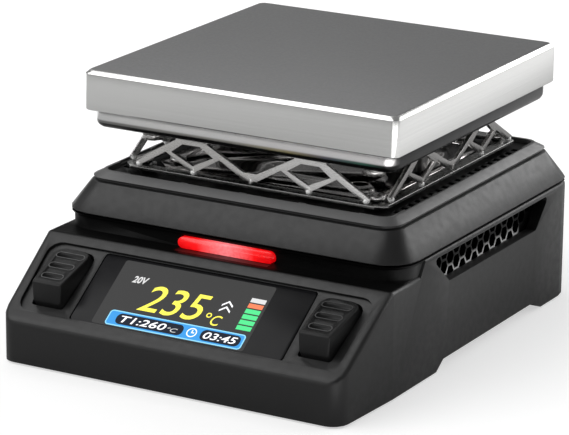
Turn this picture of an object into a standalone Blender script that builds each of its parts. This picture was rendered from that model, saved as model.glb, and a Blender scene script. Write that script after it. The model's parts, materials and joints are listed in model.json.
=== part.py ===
"""Small soldering preheater: a square heating plate on a truss frame over a sloped control base.

The part's frame is +X to the right, +Y to the rear and +Z up, with the origin on the table under
the middle of the whole object. Sizes are millimetres, and MM turns them into metres in a mesh.
"""
from math import atan2, cos, hypot, pi, radians, sin, sqrt, tan

import bmesh
import bpy
from mathutils import Vector

MM = 0.001

# Clearances
SEAT_GAP = 0.3
FINE_GAP = 0.15

# Heating plate, which sets the size of the rest
PLATE_SIZE = 50.0
PLATE_THICK = 5.8
PLATE_CORNER = 1.0
PLATE_CHAMFER = 0.5
PLATE_LOW_CHAMFER = 0.15

# Base housing: outline, heights and walls
BASE_OVER_PLATE = 2.7
CONSOLE_DEPTH = 16.0
FRONT_NARROWING = 0.7
TAPER_PAST_PANEL = 0.27
FRONT_CORNER = 2.3
REAR_CORNER = 5.0
FRONT_HEIGHT = 6.45
LEDGE_Z = 15.62
LEDGE_DEPTH = 2.57
STEP_BEHIND_CONSOLE = 5.5
STEP_RUN = 1.4
STEP_RISE = 2.13
WALL = 1.6
EDGE_RADIUS = 0.6
WALL_FOOT_Z = 0.3
NOTCH_BEHIND_CONSOLE = 10.7
NOTCH_REAR_IN = 11.1
NOTCH_HEIGHT = 1.35
NOTCH_FRONT_RAMP = 2.1
NOTCH_REAR_RAMP = 3.0
REAR_CHAMFER = 0.8
COLLAR_INSET = 0.45
COLLAR_FLARE = 0.05
COLLAR_FLARE_RISE = 0.45
COLLAR_WALL = 1.75

# Side vents, as a trapezoid seen from the side, and their honeycomb
VENT_BELOW_TOP = 0.75
VENT_HEIGHT = 4.3
VENT_BEHIND_CONSOLE = 9.0
VENT_REAR_IN = 9.4
VENT_FRONT_SLANT = 5.1
VENT_REAR_SLANT = 4.2
VENT_CORNER = 0.5
GRILLE_THICK = 1.0
GRILLE_MARGIN = 0.8
GRILLE_LOW_MARGIN = 1.4
CELL_SIDE = 1.267
CELL_BAR = 0.35
CELL_ROWS = 3

# Control panel, measured along its slope from the lower edge
RECESS_DEPTH = 0.5
RECESS_LOW = 2.1
RECESS_TOP_IN = 1.66
RECESS_LOW_SIDE_IN = 1.6
RECESS_HIGH_SIDE_IN = 1.0
RECESS_CORNER = 2.0
GLASS_MARGIN = 0.25
GLASS_TO_KEY = 1.55
GLASS_THICK = 1.0
GLASS_CORNER = 0.5

# Keys: a wedge on each side of the glass
KEY_FRONT_SIDE_IN = 1.9
KEY_FRONT_WIDTH = 4.55
KEY_REAR_SIDE_IN = 1.6
KEY_REAR_WIDTH = 6.0
KEY_FRONT_IN_RECESS = 1.77
KEY_REAR_IN_RECESS = 1.1
KEY_FRONT_CORNER = 0.45
KEY_REAR_CORNER = 1.5
KEY_RISE = 2.92
KEY_TOP_TILT = 19.4
KEY_LIP = 0.6
KEY_LIP_THICK = 0.6
KEY_EDGE = 0.22
KEY_EDGE_STEPS = 2
GROOVE_FIRST = 1.75
GROOVE_LAST = 2.98
GROOVE_SHORT = 3.3
GROOVE_GROWTH = 0.55
GROOVE_WIDTH = 1.05
GROOVE_DEPTH = 0.3
GROOVE_COUNT = 3

# Electronics behind the panel
MODULE_SIDE_IN = 0.65
MODULE_THICK = 2.3
MODULE_MARGIN = 1.2
CONTROL_BOARD_SIDE_IN = 2.6
CONTROL_BOARD_LOW_IN = 1.3
CONTROL_BOARD_PAST_RECESS = 0.4
CONTROL_BOARD_THICK = 0.8
SWITCH_SIZE = 5.2
SWITCH_THICK = 1.0
PLUNGER_RADIUS = 0.9
PLUNGER_LENGTH = 0.8

# Light bar in the front of the collar
BAR_HALF = 7.7
BAR_HEIGHT = 1.6
BAR_SUNK = 0.07
BAR_BOARD_HALF = 9.5
BAR_BOARD_HEIGHT = 3.7
BAR_BOARD_THICK = 0.8

# Upper housing above the seam, as inset from the base's side and rise above the seam
SEAM = 0.25
COVER_CORNER_SHARE = 0.75
COVER_GROOVE_RISE = 4.05
COVER_GROOVE_INSET = 2.75
COVER_GROOVE_DEPTH = 0.6
COVER_GROOVE_HEIGHT = 0.6
COVER_RIM_RISE = 5.47
COVER_RIM_INSET = 4.3
COVER_RIM_WIDTH = 0.5
COVER_LEDGE_RISE = 4.0
COVER_LEDGE_WIDTH = 2.5
COVER_LEDGE_THICK = 0.8
COVER_WALL = 1.2
COVER_EDGE = 0.15
TONGUE_HEIGHT = 0.6
RIM_NOTCH_END = 3.9
RIM_NOTCH_BAR = 1.2
RIM_NOTCH_DEPTH = 0.35
RIM_NOTCHES = 4
POST_SIDE_IN = 5.7
POST_RADIUS = 2.2

# Deck under the truss
DECK_THICK = 0.6
DECK_CORNER = 1.1
SLOT_END = 4.15
SLOT_COUNT = 19
SLOT_WIDTH = 1.05
SLOT_LENGTH = 1.0

# Stainless truss frame, inset from the base's side
TRUSS_SIDE_IN = 6.6
TRUSS_SHEET = 0.6
TRUSS_HEIGHT = 5.45
FLANGE_THICK = 0.55
FLANGE_SIDE_IN = 1.3
FLANGE_WIDTH = 2.1
LUG_WIDTH = 4.0

# Lattice of one side, as drawn for this half side and this height above the ring
LATTICE_HALF = 21.1
LATTICE_HEIGHT = 5.45
FLAT_IN = 7.05
FLAT_OUT = 12.1
SHOULDER_RISE = 4.9
VALLEY_HALF = 1.1
VALLEY_LOW = 0.65
VALLEY_HIGH = 1.75
NODE_IN = 4.95
NODE_OUT = 13.75
NODE_RISE = 2.9
TIP_T = 9.3
TIP_HALF = 0.45
TIP_LOW = 0.6
FOOT_IN = 17.5
FOOT_WIDTH = 1.45
FOOT_TOP = 0.9
HOLE_LOW = 1.4
HOLE_IN = 5.95
HOLE_OUT = 12.85
HOLE_MID = 3.0
HOLE_TOP = 4.35
HOLE_TOP_IN = 8.15
HOLE_TOP_OUT = 11.0
PIN_RADIUS = 0.4
PIN_SPOTS = ((0.0, 1.05), (9.3, 1.15), (18.3, 0.8))
PIN_GAP = 0.2

# Ring and shield on the deck, inset from the truss's side
RING_RISE = 0.4
RING_WIDTH = 1.8
RING_THICK = 0.45
RING_CHAMFER = 1.5
RING_LUG_IN = 2.5
RING_LUG_RADIUS = 1.6
SHIELD_SIDE_IN = 2.8
SHIELD_CHAMFER = 3.2
SHIELD_THICK = 0.4
SHIELD_SCREW_IN = 3.1
SHIELD_HOLE_SIDE_IN = 9.2
SHIELD_HOLE_FRONT_IN = 10.3
SHIELD_HOLE_RADIUS = 1.35

# Heating stack under the plate
PLATE_SCREW_IN = 2.0
PAN_SIDE_IN = 0.8
PAN_DEPTH = 2.45
PAN_CORNER = 2.0
PAN_EDGE = 1.2
PAN_WALL = 0.5
SHEET_THICK = 0.6
SHEET_SIDE_IN = 1.2
HEATER_SCREW_GAP = 1.8
HEATER_THICK = 0.6
TUBE_SIDE_IN = 7.3
TUBE_RADIUS = 3.5
TUBE_BORE = 2.6
TUBE_SPIGOT = 2.9
TUBE_SPIGOT_LENGTH = 1.5
LEAD_HOLE = 2.3
SENSOR_RADIUS = 0.9
SENSOR_DEPTH = 1.6
SENSOR_LOW = 0.4
HEATER_LEAD_RADIUS = 0.7
SENSOR_LEAD_RADIUS = 0.35
TWIN_SHARE = 0.85

# Bottom cover, feet and main board
BOTTOM_LOW_Z = 1.75
BOTTOM_THICK = 1.5
FOOT_RADIUS = 3.5
FOOT_HEIGHT = 1.45
FOOT_EDGE = 0.4
FOOT_SIDE_IN = 6.5
FOOT_FRONT_IN = 6.2
FOOT_REAR_IN = 6.7
BOARD_POST_GAP = 0.6
BOARD_BEHIND_CONSOLE = 3.7
BOARD_REAR_IN = 2.6
BOARD_LIFT = 3.25
BOARD_THICK = 1.0
STANDOFF_SIDE_IN = 2.6
STANDOFF_FRONT_IN = 2.6
STANDOFF_REAR_IN = 3.0
STANDOFF_RADIUS = 1.8
STANDOFF_PIN = 0.8
BOTTOM_SLOTS = 5
BOTTOM_SLOT_PITCH = 4.6
BOTTOM_SLOT_LENGTH = 20.0
BOTTOM_SLOT_WIDTH = 1.8

# Screws: shank radius, head radius and head height
CASE_SCREW = (0.8, 1.8, 0.5)
CASE_SCREW_LENGTH = 9.0
FRAME_SCREW = (0.55, 1.3, 0.6)
SHIELD_SCREW = (0.55, 1.2, 0.6)
DECK_SCREW_LENGTH = 2.2
PLATE_SCREW = (1.0, 1.6, 1.05)
PLATE_SCREW_REACH = 3.1

# Sockets in the rear wall
USB_SIDE_IN = 11.2
USB_WIDTH = 8.9
USB_HEIGHT = 3.2
USB_DEPTH = 7.3
USB_SHELL = 0.35
USB_FLOOR = 1.0
USB_TONGUE = (6.6, 0.7, 4.6)
DC_SIDE_IN = 9.2
DC_RADIUS = 3.25
DC_BORE = 2.75
DC_PIN = 1.05
DC_BLOCK = (9.0, 8.0, 10.0)
DC_BORE_DEPTH = 9.0

# What stands on the main board, as drawn for this half width: places from the plate's middle line
BOARD_DRAWN_HALF = 19.2
HEATER_PLUG = (8.0, 6.0, 6.8)
SENSOR_PLUG = (5.0, 4.0, 4.2)
BUZZER_SPOT = (4.0, -6.0)
BUZZER_RADIUS = 4.0
BUZZER_HEIGHT = 3.0
BUZZER_HOLE = 1.0
CHIP_SPOT = (-4.0, -14.0)
CHIP = (7.0, 7.0, 0.9)
COIL_SPOT = (9.0, -16.0)
COIL = (7.0, 7.0, 3.2)
SWITCH_SPOTS = ((-15.0, 12.0), (-8.5, 12.0))
SWITCH = (5.0, 6.0, 1.1)
CAN_SPOTS = ((0.0, 9.5), (7.2, 9.5))
CAN_RADIUS = 3.1
CAN_HEIGHT = 7.0
RIBBON_HALF = 5.0
RIBBON_THICK = 0.3

# Facets of round shapes
CORNER_STEPS = 4
EDGE_STEPS = 3
FINE_STEPS = 2
PIN_SIDES = 8
SMALL_SIDES = 10
ROUND_SIDES = 16

# Worked out from the sizes above: the base's plan, then the panel
BASE_HALF = PLATE_SIZE / 2 + BASE_OVER_PLATE
BASE_LENGTH = 2 * BASE_HALF + CONSOLE_DEPTH
FRONT_HALF = BASE_HALF - FRONT_NARROWING
FRONT_Y = -BASE_LENGTH / 2
REAR_Y = BASE_LENGTH / 2
PLATE_Y = REAR_Y - BASE_HALF
PANEL_RUN = CONSOLE_DEPTH - LEDGE_DEPTH
TAPER_RUN = PANEL_RUN + TAPER_PAST_PANEL
PANEL_ANGLE = atan2(LEDGE_Z - FRONT_HEIGHT, PANEL_RUN)
PANEL_SLOPE = hypot(PANEL_RUN, LEDGE_Z - FRONT_HEIGHT)
RECESS_HIGH = PANEL_SLOPE - RECESS_TOP_IN
RECESS_LOW_HALF = FRONT_HALF - RECESS_LOW_SIDE_IN
RECESS_HIGH_HALF = FRONT_HALF - RECESS_HIGH_SIDE_IN
KEY_FRONT_OUT = RECESS_LOW_HALF - KEY_FRONT_SIDE_IN
KEY_FRONT_IN = KEY_FRONT_OUT - KEY_FRONT_WIDTH
KEY_REAR_OUT = RECESS_HIGH_HALF - KEY_REAR_SIDE_IN
KEY_REAR_IN = KEY_REAR_OUT - KEY_REAR_WIDTH
KEY_FRONT = RECESS_LOW + KEY_FRONT_IN_RECESS
KEY_REAR = RECESS_HIGH - KEY_REAR_IN_RECESS
KEY_MIDDLE = (KEY_FRONT_IN + KEY_FRONT_OUT + KEY_REAR_IN + KEY_REAR_OUT) / 4
GROOVE_PITCH = (KEY_REAR - KEY_FRONT - GROOVE_FIRST - GROOVE_LAST) / (GROOVE_COUNT - 1)
GLASS_HALF = KEY_REAR_IN - GLASS_TO_KEY
GLASS_LOW = RECESS_LOW + GLASS_MARGIN
GLASS_HIGH = RECESS_HIGH - GLASS_MARGIN
GLASS_LOW_N = -RECESS_DEPTH - GLASS_THICK
MODULE_TOP_N = GLASS_LOW_N - SEAT_GAP
CONTROL_TOP_N = MODULE_TOP_N - MODULE_THICK - SEAT_GAP
CONTROL_BOARD_HALF = FRONT_HALF - CONTROL_BOARD_SIDE_IN
CONTROL_BOARD_HIGH = RECESS_HIGH + CONTROL_BOARD_PAST_RECESS
SWITCH_LOW_N = CONTROL_TOP_N + SEAT_GAP
SWITCH_TOP_N = SWITCH_LOW_N + SWITCH_THICK
KEY_LIP_TOP_N = -WALL - SEAT_GAP
KEY_LOW_N = KEY_LIP_TOP_N - KEY_LIP_THICK

# Heights, from the ledge up to the plate
WALL_TOP = LEDGE_Z + STEP_RISE
VENT_TOP_Z = WALL_TOP - VENT_BELOW_TOP
VENT_LOW_Z = VENT_TOP_Z - VENT_HEIGHT
VENT_TOP_START = FRONT_Y + CONSOLE_DEPTH + VENT_BEHIND_CONSOLE
VENT_TOP_END = REAR_Y - VENT_REAR_IN
BAR_LOW_Z = LEDGE_Z - BAR_SUNK
BAR_HIGH_Z = BAR_LOW_Z + BAR_HEIGHT
COVER_LOW_Z = WALL_TOP + SEAM
COVER_GROOVE_Z = COVER_LOW_Z + COVER_GROOVE_RISE
COVER_RIM_Z = COVER_LOW_Z + COVER_RIM_RISE
COVER_RIM_IN = COVER_RIM_INSET + COVER_RIM_WIDTH
COVER_LEDGE_Z = COVER_LOW_Z + COVER_LEDGE_RISE
POST_SPREAD = BASE_HALF - POST_SIDE_IN
DECK_HALF = BASE_HALF - COVER_RIM_IN - SEAT_GAP
DECK_LOW_Z = COVER_LEDGE_Z + SEAT_GAP
DECK_TOP_Z = DECK_LOW_Z + DECK_THICK
SHIELD_LOW_Z = DECK_TOP_Z + SEAT_GAP
SHIELD_TOP_Z = SHIELD_LOW_Z + SHIELD_THICK
RING_LOW_Z = SHIELD_LOW_Z + RING_RISE
RING_TOP_Z = RING_LOW_Z + RING_THICK
TRUSS_HALF = BASE_HALF - TRUSS_SIDE_IN
TRUSS_TOP_Z = RING_TOP_Z + TRUSS_HEIGHT
FLANGE_OUT = TRUSS_HALF - FLANGE_SIDE_IN
FLANGE_IN = FLANGE_OUT - FLANGE_WIDTH
LUG_IN = FLANGE_OUT - LUG_WIDTH
PLATE_SCREW_SPREAD = FLANGE_OUT - PLATE_SCREW_IN
RING_LUG_SPREAD = TRUSS_HALF - RING_LUG_IN
SHIELD_HALF = TRUSS_HALF - SHIELD_SIDE_IN
SHIELD_SCREW_SPREAD = SHIELD_HALF - SHIELD_SCREW_IN
TUBE_SPREAD = TRUSS_HALF - TUBE_SIDE_IN
PAN_HALF = PLATE_SIZE / 2 - PAN_SIDE_IN
PAN_LOW_Z = TRUSS_TOP_Z + SEAT_GAP
PAN_TOP_Z = PAN_LOW_Z + PAN_DEPTH
SHEET_LOW_Z = PAN_LOW_Z + PAN_WALL + SEAT_GAP
HEATER_LOW_Z = PAN_TOP_Z - HEATER_THICK
PLATE_LOW_Z = PAN_TOP_Z + FINE_GAP
PLATE_TOP_Z = PLATE_LOW_Z + PLATE_THICK

# Inside the base
BOTTOM_TOP_Z = BOTTOM_LOW_Z + BOTTOM_THICK
BOARD_LOW_Z = BOTTOM_TOP_Z + BOARD_LIFT
BOARD_TOP_Z = BOARD_LOW_Z + BOARD_THICK
PART_LOW_Z = BOARD_TOP_Z + SEAT_GAP
BOARD_HALF = POST_SPREAD - POST_RADIUS - BOARD_POST_GAP
BOARD_FRONT_Y = FRONT_Y + CONSOLE_DEPTH + BOARD_BEHIND_CONSOLE
BOARD_REAR_Y = REAR_Y - WALL - BOARD_REAR_IN
BOARD_SCALE = BOARD_HALF / BOARD_DRAWN_HALF
USB_X = USB_SIDE_IN - BOARD_HALF
DC_X = BOARD_HALF - DC_SIDE_IN
SIDES = range(4)
PILL_END_SHARE = 0.48


# Places: each turns two outline coordinates and a depth into a point

def flat(x, y, z):
    """Outline seen from above, depth upwards."""
    return (x, y, z)


def side_view(y, z, x):
    """Outline seen from the side, depth along X."""
    return (x, y, z)


def front_view(x, z, y):
    """Outline seen from the front, depth along Y."""
    return (x, y, z)


def on_panel(x, s, n):
    """Point at x, s up the control panel's slope and n out of it."""
    y = FRONT_Y + s * cos(PANEL_ANGLE) - n * sin(PANEL_ANGLE)
    z = FRONT_HEIGHT + s * sin(PANEL_ANGLE) + n * cos(PANEL_ANGLE)
    return (x, y, z)


def on_side(side):
    """Outline on one of the four sides around the plate's centre, depth outwards."""
    turn = side * pi / 2

    def place(t, z, d):
        return (t * cos(turn) + d * sin(turn), PLATE_Y + t * sin(turn) - d * cos(turn), z)
    return place


def around_plate(side):
    """Plan outline turned to one of the four sides around the plate's centre."""
    place = on_side(side)
    return lambda t, d, z: place(t, z, d)


def on_key_top(x, u, n):
    """Point on a key's sloping top, u up from its front edge and n out of it."""
    front = on_panel(x, KEY_FRONT, 0.0)
    tilt = radians(KEY_TOP_TILT)
    y = front[1] + u * cos(tilt) - n * sin(tilt)
    z = front[2] + KEY_RISE + u * sin(tilt) + n * cos(tilt)
    return (x, y, z)


# Outlines

def rounded(corners, radius, steps=CORNER_STEPS):
    """Polygon with a round arc at each corner; radius is one number or one for each corner, 0 for none."""
    radii = radius if isinstance(radius, (list, tuple)) else [radius] * len(corners)
    points = []
    for index, corner in enumerate(corners):
        if not radii[index]:
            points.append(corner)
            continue
        here = Vector(corner)
        before = (Vector(corners[index - 1]) - here).normalized()
        after = (Vector(corners[(index + 1) % len(corners)]) - here).normalized()
        half_angle = before.angle(after) / 2
        start = here + before * radii[index] / tan(half_angle)
        centre = here + (before + after).normalized() * radii[index] / sin(half_angle)
        first = start - centre
        side = 1 if before.x * after.y - before.y * after.x < 0 else -1
        sweep = side * (pi - 2 * half_angle)
        for step in range(steps + 1):
            angle = sweep * step / steps
            turned = (first.x * cos(angle) - first.y * sin(angle),
                      first.x * sin(angle) + first.y * cos(angle))
            points.append((centre.x + turned[0], centre.y + turned[1]))
    return points


def rectangle(x0, y0, x1, y1):
    return [(x0, y0), (x1, y0), (x1, y1), (x0, y1)]


def square(half, radius, steps=CORNER_STEPS):
    """Square around the plate's centre with round corners, seen from above."""
    corners = rectangle(-half, PLATE_Y - half, half, PLATE_Y + half)
    return rounded(corners, radius, steps)


def circle(x, y, radius, sides=SMALL_SIDES):
    steps = [2 * pi * (side + 0.5) / sides for side in range(sides)]
    return [(x + radius * cos(angle), y + radius * sin(angle)) for angle in steps]


def pill(x0, y0, x1, y1):
    """Flat-sided slot shape with half-round ends along its longer way."""
    radius = min(x1 - x0, y1 - y0) * PILL_END_SHARE
    return rounded(rectangle(x0, y0, x1, y1), radius)


def cut_square(half, chamfer):
    """Square around the plate's centre with its corners cut off."""
    near = half - chamfer
    signs = ((1, -1), (1, 1), (-1, 1), (-1, -1))
    points = []
    for sx, sy in signs:
        pair = [(sx * near, sy * half), (sx * half, sy * near)]
        if sx != -sy:
            pair.reverse()
        points.extend(pair)
    return [(x, PLATE_Y + y) for x, y in points]


def base_outline(inset):
    """Plan of the base housing, drawn in from its outside by the inset."""
    taper_y = FRONT_Y + TAPER_RUN
    half = BASE_HALF - inset
    front_half = FRONT_HALF - inset
    corners = [(-front_half, FRONT_Y + inset), (front_half, FRONT_Y + inset), (half, taper_y),
               (half, REAR_Y - inset), (-half, REAR_Y - inset), (-half, taper_y)]
    front_r = max(FRONT_CORNER - inset, EDGE_RADIUS)
    rear_r = max(REAR_CORNER - inset, EDGE_RADIUS)
    return rounded(corners, [front_r, front_r, 0.0, rear_r, rear_r, 0.0])


def key_outline(side, grow):
    """Plan of a key on the panel, grown by a clearance or a lip; side is -1 left or 1 right."""
    corners = [(KEY_FRONT_IN - grow, KEY_FRONT - grow), (KEY_FRONT_OUT + grow, KEY_FRONT - grow),
               (KEY_REAR_OUT + grow, KEY_REAR + grow), (KEY_REAR_IN - grow, KEY_REAR + grow)]
    radii = [KEY_FRONT_CORNER, KEY_FRONT_CORNER, KEY_REAR_CORNER, KEY_REAR_CORNER]
    return [(side * x, s) for x, s in rounded(corners, radii)]


def on_lattice(points):
    """Places on the drawn lattice, stretched to the truss's side and set on the ring."""
    stretch = TRUSS_HALF / LATTICE_HALF
    lift = TRUSS_HEIGHT / LATTICE_HEIGHT
    return [(t * stretch, RING_TOP_Z + rise * lift) for t, rise in points]


def truss_outline():
    """One side of the truss: a zigzag whose peaks are closed into lozenges."""
    foot_out = FOOT_IN + FOOT_WIDTH
    right = [(VALLEY_HALF, VALLEY_LOW), (NODE_IN, NODE_RISE), (TIP_T - TIP_HALF, TIP_LOW),
             (TIP_T + TIP_HALF, TIP_LOW), (NODE_OUT, NODE_RISE), (FOOT_IN, VALLEY_LOW),
             (foot_out, VALLEY_LOW), (foot_out, FOOT_TOP), (FLAT_OUT, SHOULDER_RISE),
             (FLAT_OUT, LATTICE_HEIGHT), (FLAT_IN, LATTICE_HEIGHT), (FLAT_IN, SHOULDER_RISE),
             (VALLEY_HALF, VALLEY_HIGH)]
    return on_lattice(right + [(-t, rise) for t, rise in reversed(right)])


def truss_hole(side):
    """Opening of one lozenge."""
    corners = [(HOLE_IN, HOLE_MID), (TIP_T, HOLE_LOW), (HOLE_OUT, HOLE_MID),
               (HOLE_TOP_OUT, HOLE_TOP), (HOLE_TOP_IN, HOLE_TOP)]
    return on_lattice([(side * t, rise) for t, rise in corners])


# Solids

def solid(mesh):
    """Object from a closed bmesh, its faces turned outwards."""
    bmesh.ops.recalc_face_normals(mesh, faces=mesh.faces[:])
    data = bpy.data.meshes.new("shape")
    mesh.to_mesh(data)
    mesh.free()
    obj = bpy.data.objects.new("shape", data)
    bpy.context.scene.collection.objects.link(obj)
    return obj


def loft(rings, closed=False):
    """Skin over rings of equally many points; closed joins the last ring to the first."""
    mesh = bmesh.new()
    loops = [[mesh.verts.new(Vector(point) * MM) for point in ring] for ring in rings]
    pairs = list(zip(loops, loops[1:]))
    if closed:
        pairs.append((loops[-1], loops[0]))
    else:
        mesh.faces.new(loops[0])
        mesh.faces.new(loops[-1])
    for lower, upper in pairs:
        for index in range(len(lower)):
            nearby = (index + 1) % len(lower)
            mesh.faces.new((lower[index], lower[nearby], upper[nearby], upper[index]))
    return solid(mesh)


def prism(outline, low, high, place=flat):
    return loft([[place(u, v, depth) for u, v in outline] for depth in (low, high)])


def block(x0, y0, z0, x1, y1, z1):
    return prism(rectangle(x0, y0, x1, y1), z0, z1)


def turned(profile, x, y, sides=SMALL_SIDES, closed=False):
    """Solid of revolution about a vertical axis; the profile is radius and height."""
    return loft([[(u, v, z) for u, v in circle(x, y, r, sides)] for r, z in profile], closed)


def rod(x, y, radius, low, high, sides=SMALL_SIDES):
    return turned([(radius, low), (radius, high)], x, y, sides)


def group(pieces):
    """Several solids in one object, to be used as one tool."""
    mesh = bmesh.new()
    for piece in pieces:
        mesh.from_mesh(piece.data)
        bpy.data.objects.remove(piece, do_unlink=True)
    return solid(mesh)


def combine(target, tool, operation):
    """Boolean of two solids; the tool is used up."""
    modifier = target.modifiers.new(operation.title(), "BOOLEAN")
    modifier.operation = operation
    modifier.solver = "EXACT"
    modifier.object = tool
    graph = bpy.context.evaluated_depsgraph_get()
    result = bpy.data.meshes.new_from_object(target.evaluated_get(graph))
    target.modifiers.clear()
    target.data = result
    bpy.data.objects.remove(tool, do_unlink=True)
    return target


def cut(target, *tools):
    tool = tools[0] if len(tools) == 1 else group(tools)
    return combine(target, tool, "DIFFERENCE")


def fuse(target, *tools):
    tool = tools[0] if len(tools) == 1 else group(tools)
    return combine(target, tool, "UNION")


def slice_off(obj, point, outwards):
    """Cut away what lies beyond a plane and close the solid there."""
    mesh = bmesh.new()
    mesh.from_mesh(obj.data)
    everything = mesh.verts[:] + mesh.edges[:] + mesh.faces[:]
    cut_line = bmesh.ops.bisect_plane(mesh, geom=everything, plane_co=Vector(point) * MM,
                                      plane_no=Vector(outwards), clear_outer=True)["geom_cut"]
    rim = [item for item in cut_line if isinstance(item, bmesh.types.BMEdge)]
    bmesh.ops.contextual_create(mesh, geom=rim)
    bmesh.ops.recalc_face_normals(mesh, faces=mesh.faces[:])
    mesh.to_mesh(obj.data)
    mesh.free()
    return obj


def look(name, colour, roughness, metallic=0.0):
    material = bpy.data.materials.new(name)
    material.use_nodes = True
    shader = material.node_tree.nodes["Principled BSDF"]
    shader.inputs["Base Color"].default_value = (*colour, 1.0)
    shader.inputs["Roughness"].default_value = roughness
    shader.inputs["Metallic"].default_value = metallic
    return material


def finish(obj, name, material, smooth_angle=35.0):
    """Give a solid its name, its material and its shading."""
    obj.name = name
    obj.data.name = name
    obj.data.materials.clear()
    obj.data.materials.append(material)
    obj.data.shade_smooth()
    obj.data.set_sharp_from_angle(angle=radians(smooth_angle))
    return obj


def finish_each(pieces, name, material):
    """Name each of several like pieces by a number."""
    for index, piece in enumerate(pieces):
        finish(piece, f"{name}_{index + 1}", material)


def screw(x, y, seat_z, size, length, head_up=True):
    """Screw whose head sits on seat_z, with its shank going the other way."""
    shank, head, head_height = size
    way = 1 if head_up else -1
    profile = [(shank, seat_z - way * length), (shank, seat_z), (head, seat_z),
               (head, seat_z + way * head_height)]
    return turned(profile, x, y)


def four_spots(spread):
    return [(sx * spread, PLATE_Y + sy * spread) for sx in (-1, 1) for sy in (-1, 1)]


# Base housing

def corner_pull(distance, radius):
    """How far a round corner draws the side in at this distance from the end."""
    if distance >= radius:
        return 0.0
    return radius - sqrt(radius ** 2 - (radius - distance) ** 2)


def base_half(y):
    taper_y = FRONT_Y + TAPER_RUN
    taper = max(0.0, taper_y - y) / TAPER_RUN * (BASE_HALF - FRONT_HALF)
    pull = corner_pull(y - FRONT_Y, FRONT_CORNER) + corner_pull(REAR_Y - y, REAR_CORNER)
    return BASE_HALF - taper - pull


def base_top(y):
    slope = FRONT_HEIGHT + (y - FRONT_Y) * tan(PANEL_ANGLE)
    climb = LEDGE_Z + (y - FRONT_Y - CONSOLE_DEPTH - STEP_BEHIND_CONSOLE) * STEP_RISE / STEP_RUN
    height = min(slope, max(LEDGE_Z, min(climb, WALL_TOP)))
    return height - corner_pull(y - FRONT_Y, EDGE_RADIUS) - corner_pull(REAR_Y - y, EDGE_RADIUS)


def base_section(y):
    """Cross-section of the base's outside at y, with round upper edges."""
    half = base_half(y)
    top = base_top(y)
    arc = [step * pi / 2 / EDGE_STEPS for step in range(EDGE_STEPS + 1)]
    left = [(-half + EDGE_RADIUS * (1 - cos(a)), top - EDGE_RADIUS * (1 - sin(a))) for a in arc]
    right = [(-x, z) for x, z in reversed(left)]
    points = [(-half, WALL_FOOT_Z)] + left + right + [(half, WALL_FOOT_Z)]
    return [(x, y, z) for x, z in points]


def base_body():
    """Outside of the base as a loft from front to rear."""
    steps = [step * pi / 2 / CORNER_STEPS for step in range(CORNER_STEPS + 1)]
    front_radii = (FRONT_CORNER, EDGE_RADIUS)
    rear_radii = (REAR_CORNER, EDGE_RADIUS)
    stations = {FRONT_Y + radius * (1 - cos(a)) for a in steps for radius in front_radii}
    stations |= {REAR_Y - radius * (1 - cos(a)) for a in steps for radius in rear_radii}
    step_y = FRONT_Y + CONSOLE_DEPTH + STEP_BEHIND_CONSOLE
    stations |= {FRONT_Y + PANEL_RUN, FRONT_Y + TAPER_RUN, step_y, step_y + STEP_RUN}
    return loft([base_section(y) for y in sorted(stations)])


def base_cavity():
    """Room inside the base, open below; its roof runs a wall's thickness under the panel."""
    drop = WALL / cos(PANEL_ANGLE)
    roof = LEDGE_Z - WALL
    start_z = FRONT_HEIGHT - drop
    bend_y = FRONT_Y + (roof - FRONT_HEIGHT + drop) / tan(PANEL_ANGLE)
    below = -WALL
    side = [(FRONT_Y, below), (FRONT_Y, start_z), (bend_y, roof), (REAR_Y, roof), (REAR_Y, below)]
    plan = prism(base_outline(WALL), below, LEDGE_Z)
    return combine(plan, prism(side, -BASE_LENGTH, BASE_LENGTH, side_view), "INTERSECT")


def collar():
    """Upright band under the upper housing; its front carries the light bar."""
    levels = ((COLLAR_INSET, LEDGE_Z - WALL / 2), (COLLAR_INSET, WALL_TOP - COLLAR_FLARE_RISE),
              (COLLAR_FLARE, WALL_TOP))
    rings = []
    for inset, z in levels:
        outline = square(BASE_HALF - inset, REAR_CORNER - inset)
        rings.append([(x, y, z) for x, y in outline])
    return loft(rings)


def vent_outline(grow, low_margin=0.0):
    low_z = VENT_LOW_Z - low_margin
    low_start = VENT_TOP_START + VENT_FRONT_SLANT
    low_end = VENT_TOP_END - VENT_REAR_SLANT
    corners = [(VENT_TOP_START - grow, VENT_TOP_Z), (low_start - grow, low_z), (low_end + grow, low_z),
               (VENT_TOP_END + grow, VENT_TOP_Z)]
    return rounded(corners, VENT_CORNER, FINE_STEPS)


def cut_foot_line(body):
    """Long shallow notch under each side wall, and a chamfer along the rear foot."""
    front_notch = FRONT_Y + CONSOLE_DEPTH + NOTCH_BEHIND_CONSOLE
    rear_notch = REAR_Y - NOTCH_REAR_IN
    notch_z = WALL_FOOT_Z + NOTCH_HEIGHT
    notch = [(front_notch, -WALL), (front_notch, WALL_FOOT_Z), (front_notch + NOTCH_FRONT_RAMP, notch_z),
             (rear_notch - NOTCH_REAR_RAMP, notch_z), (rear_notch, WALL_FOOT_Z), (rear_notch, -WALL)]
    chamfer = [(REAR_Y + WALL, -WALL), (REAR_Y + WALL, WALL_FOOT_Z + REAR_CHAMFER + WALL),
               (REAR_Y - REAR_CHAMFER - WALL, WALL_FOOT_Z - WALL)]
    cut(body, prism(notch, -BASE_LENGTH, BASE_LENGTH, side_view))
    cut(body, prism(chamfer, -BASE_LENGTH, BASE_LENGTH, side_view))


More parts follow.
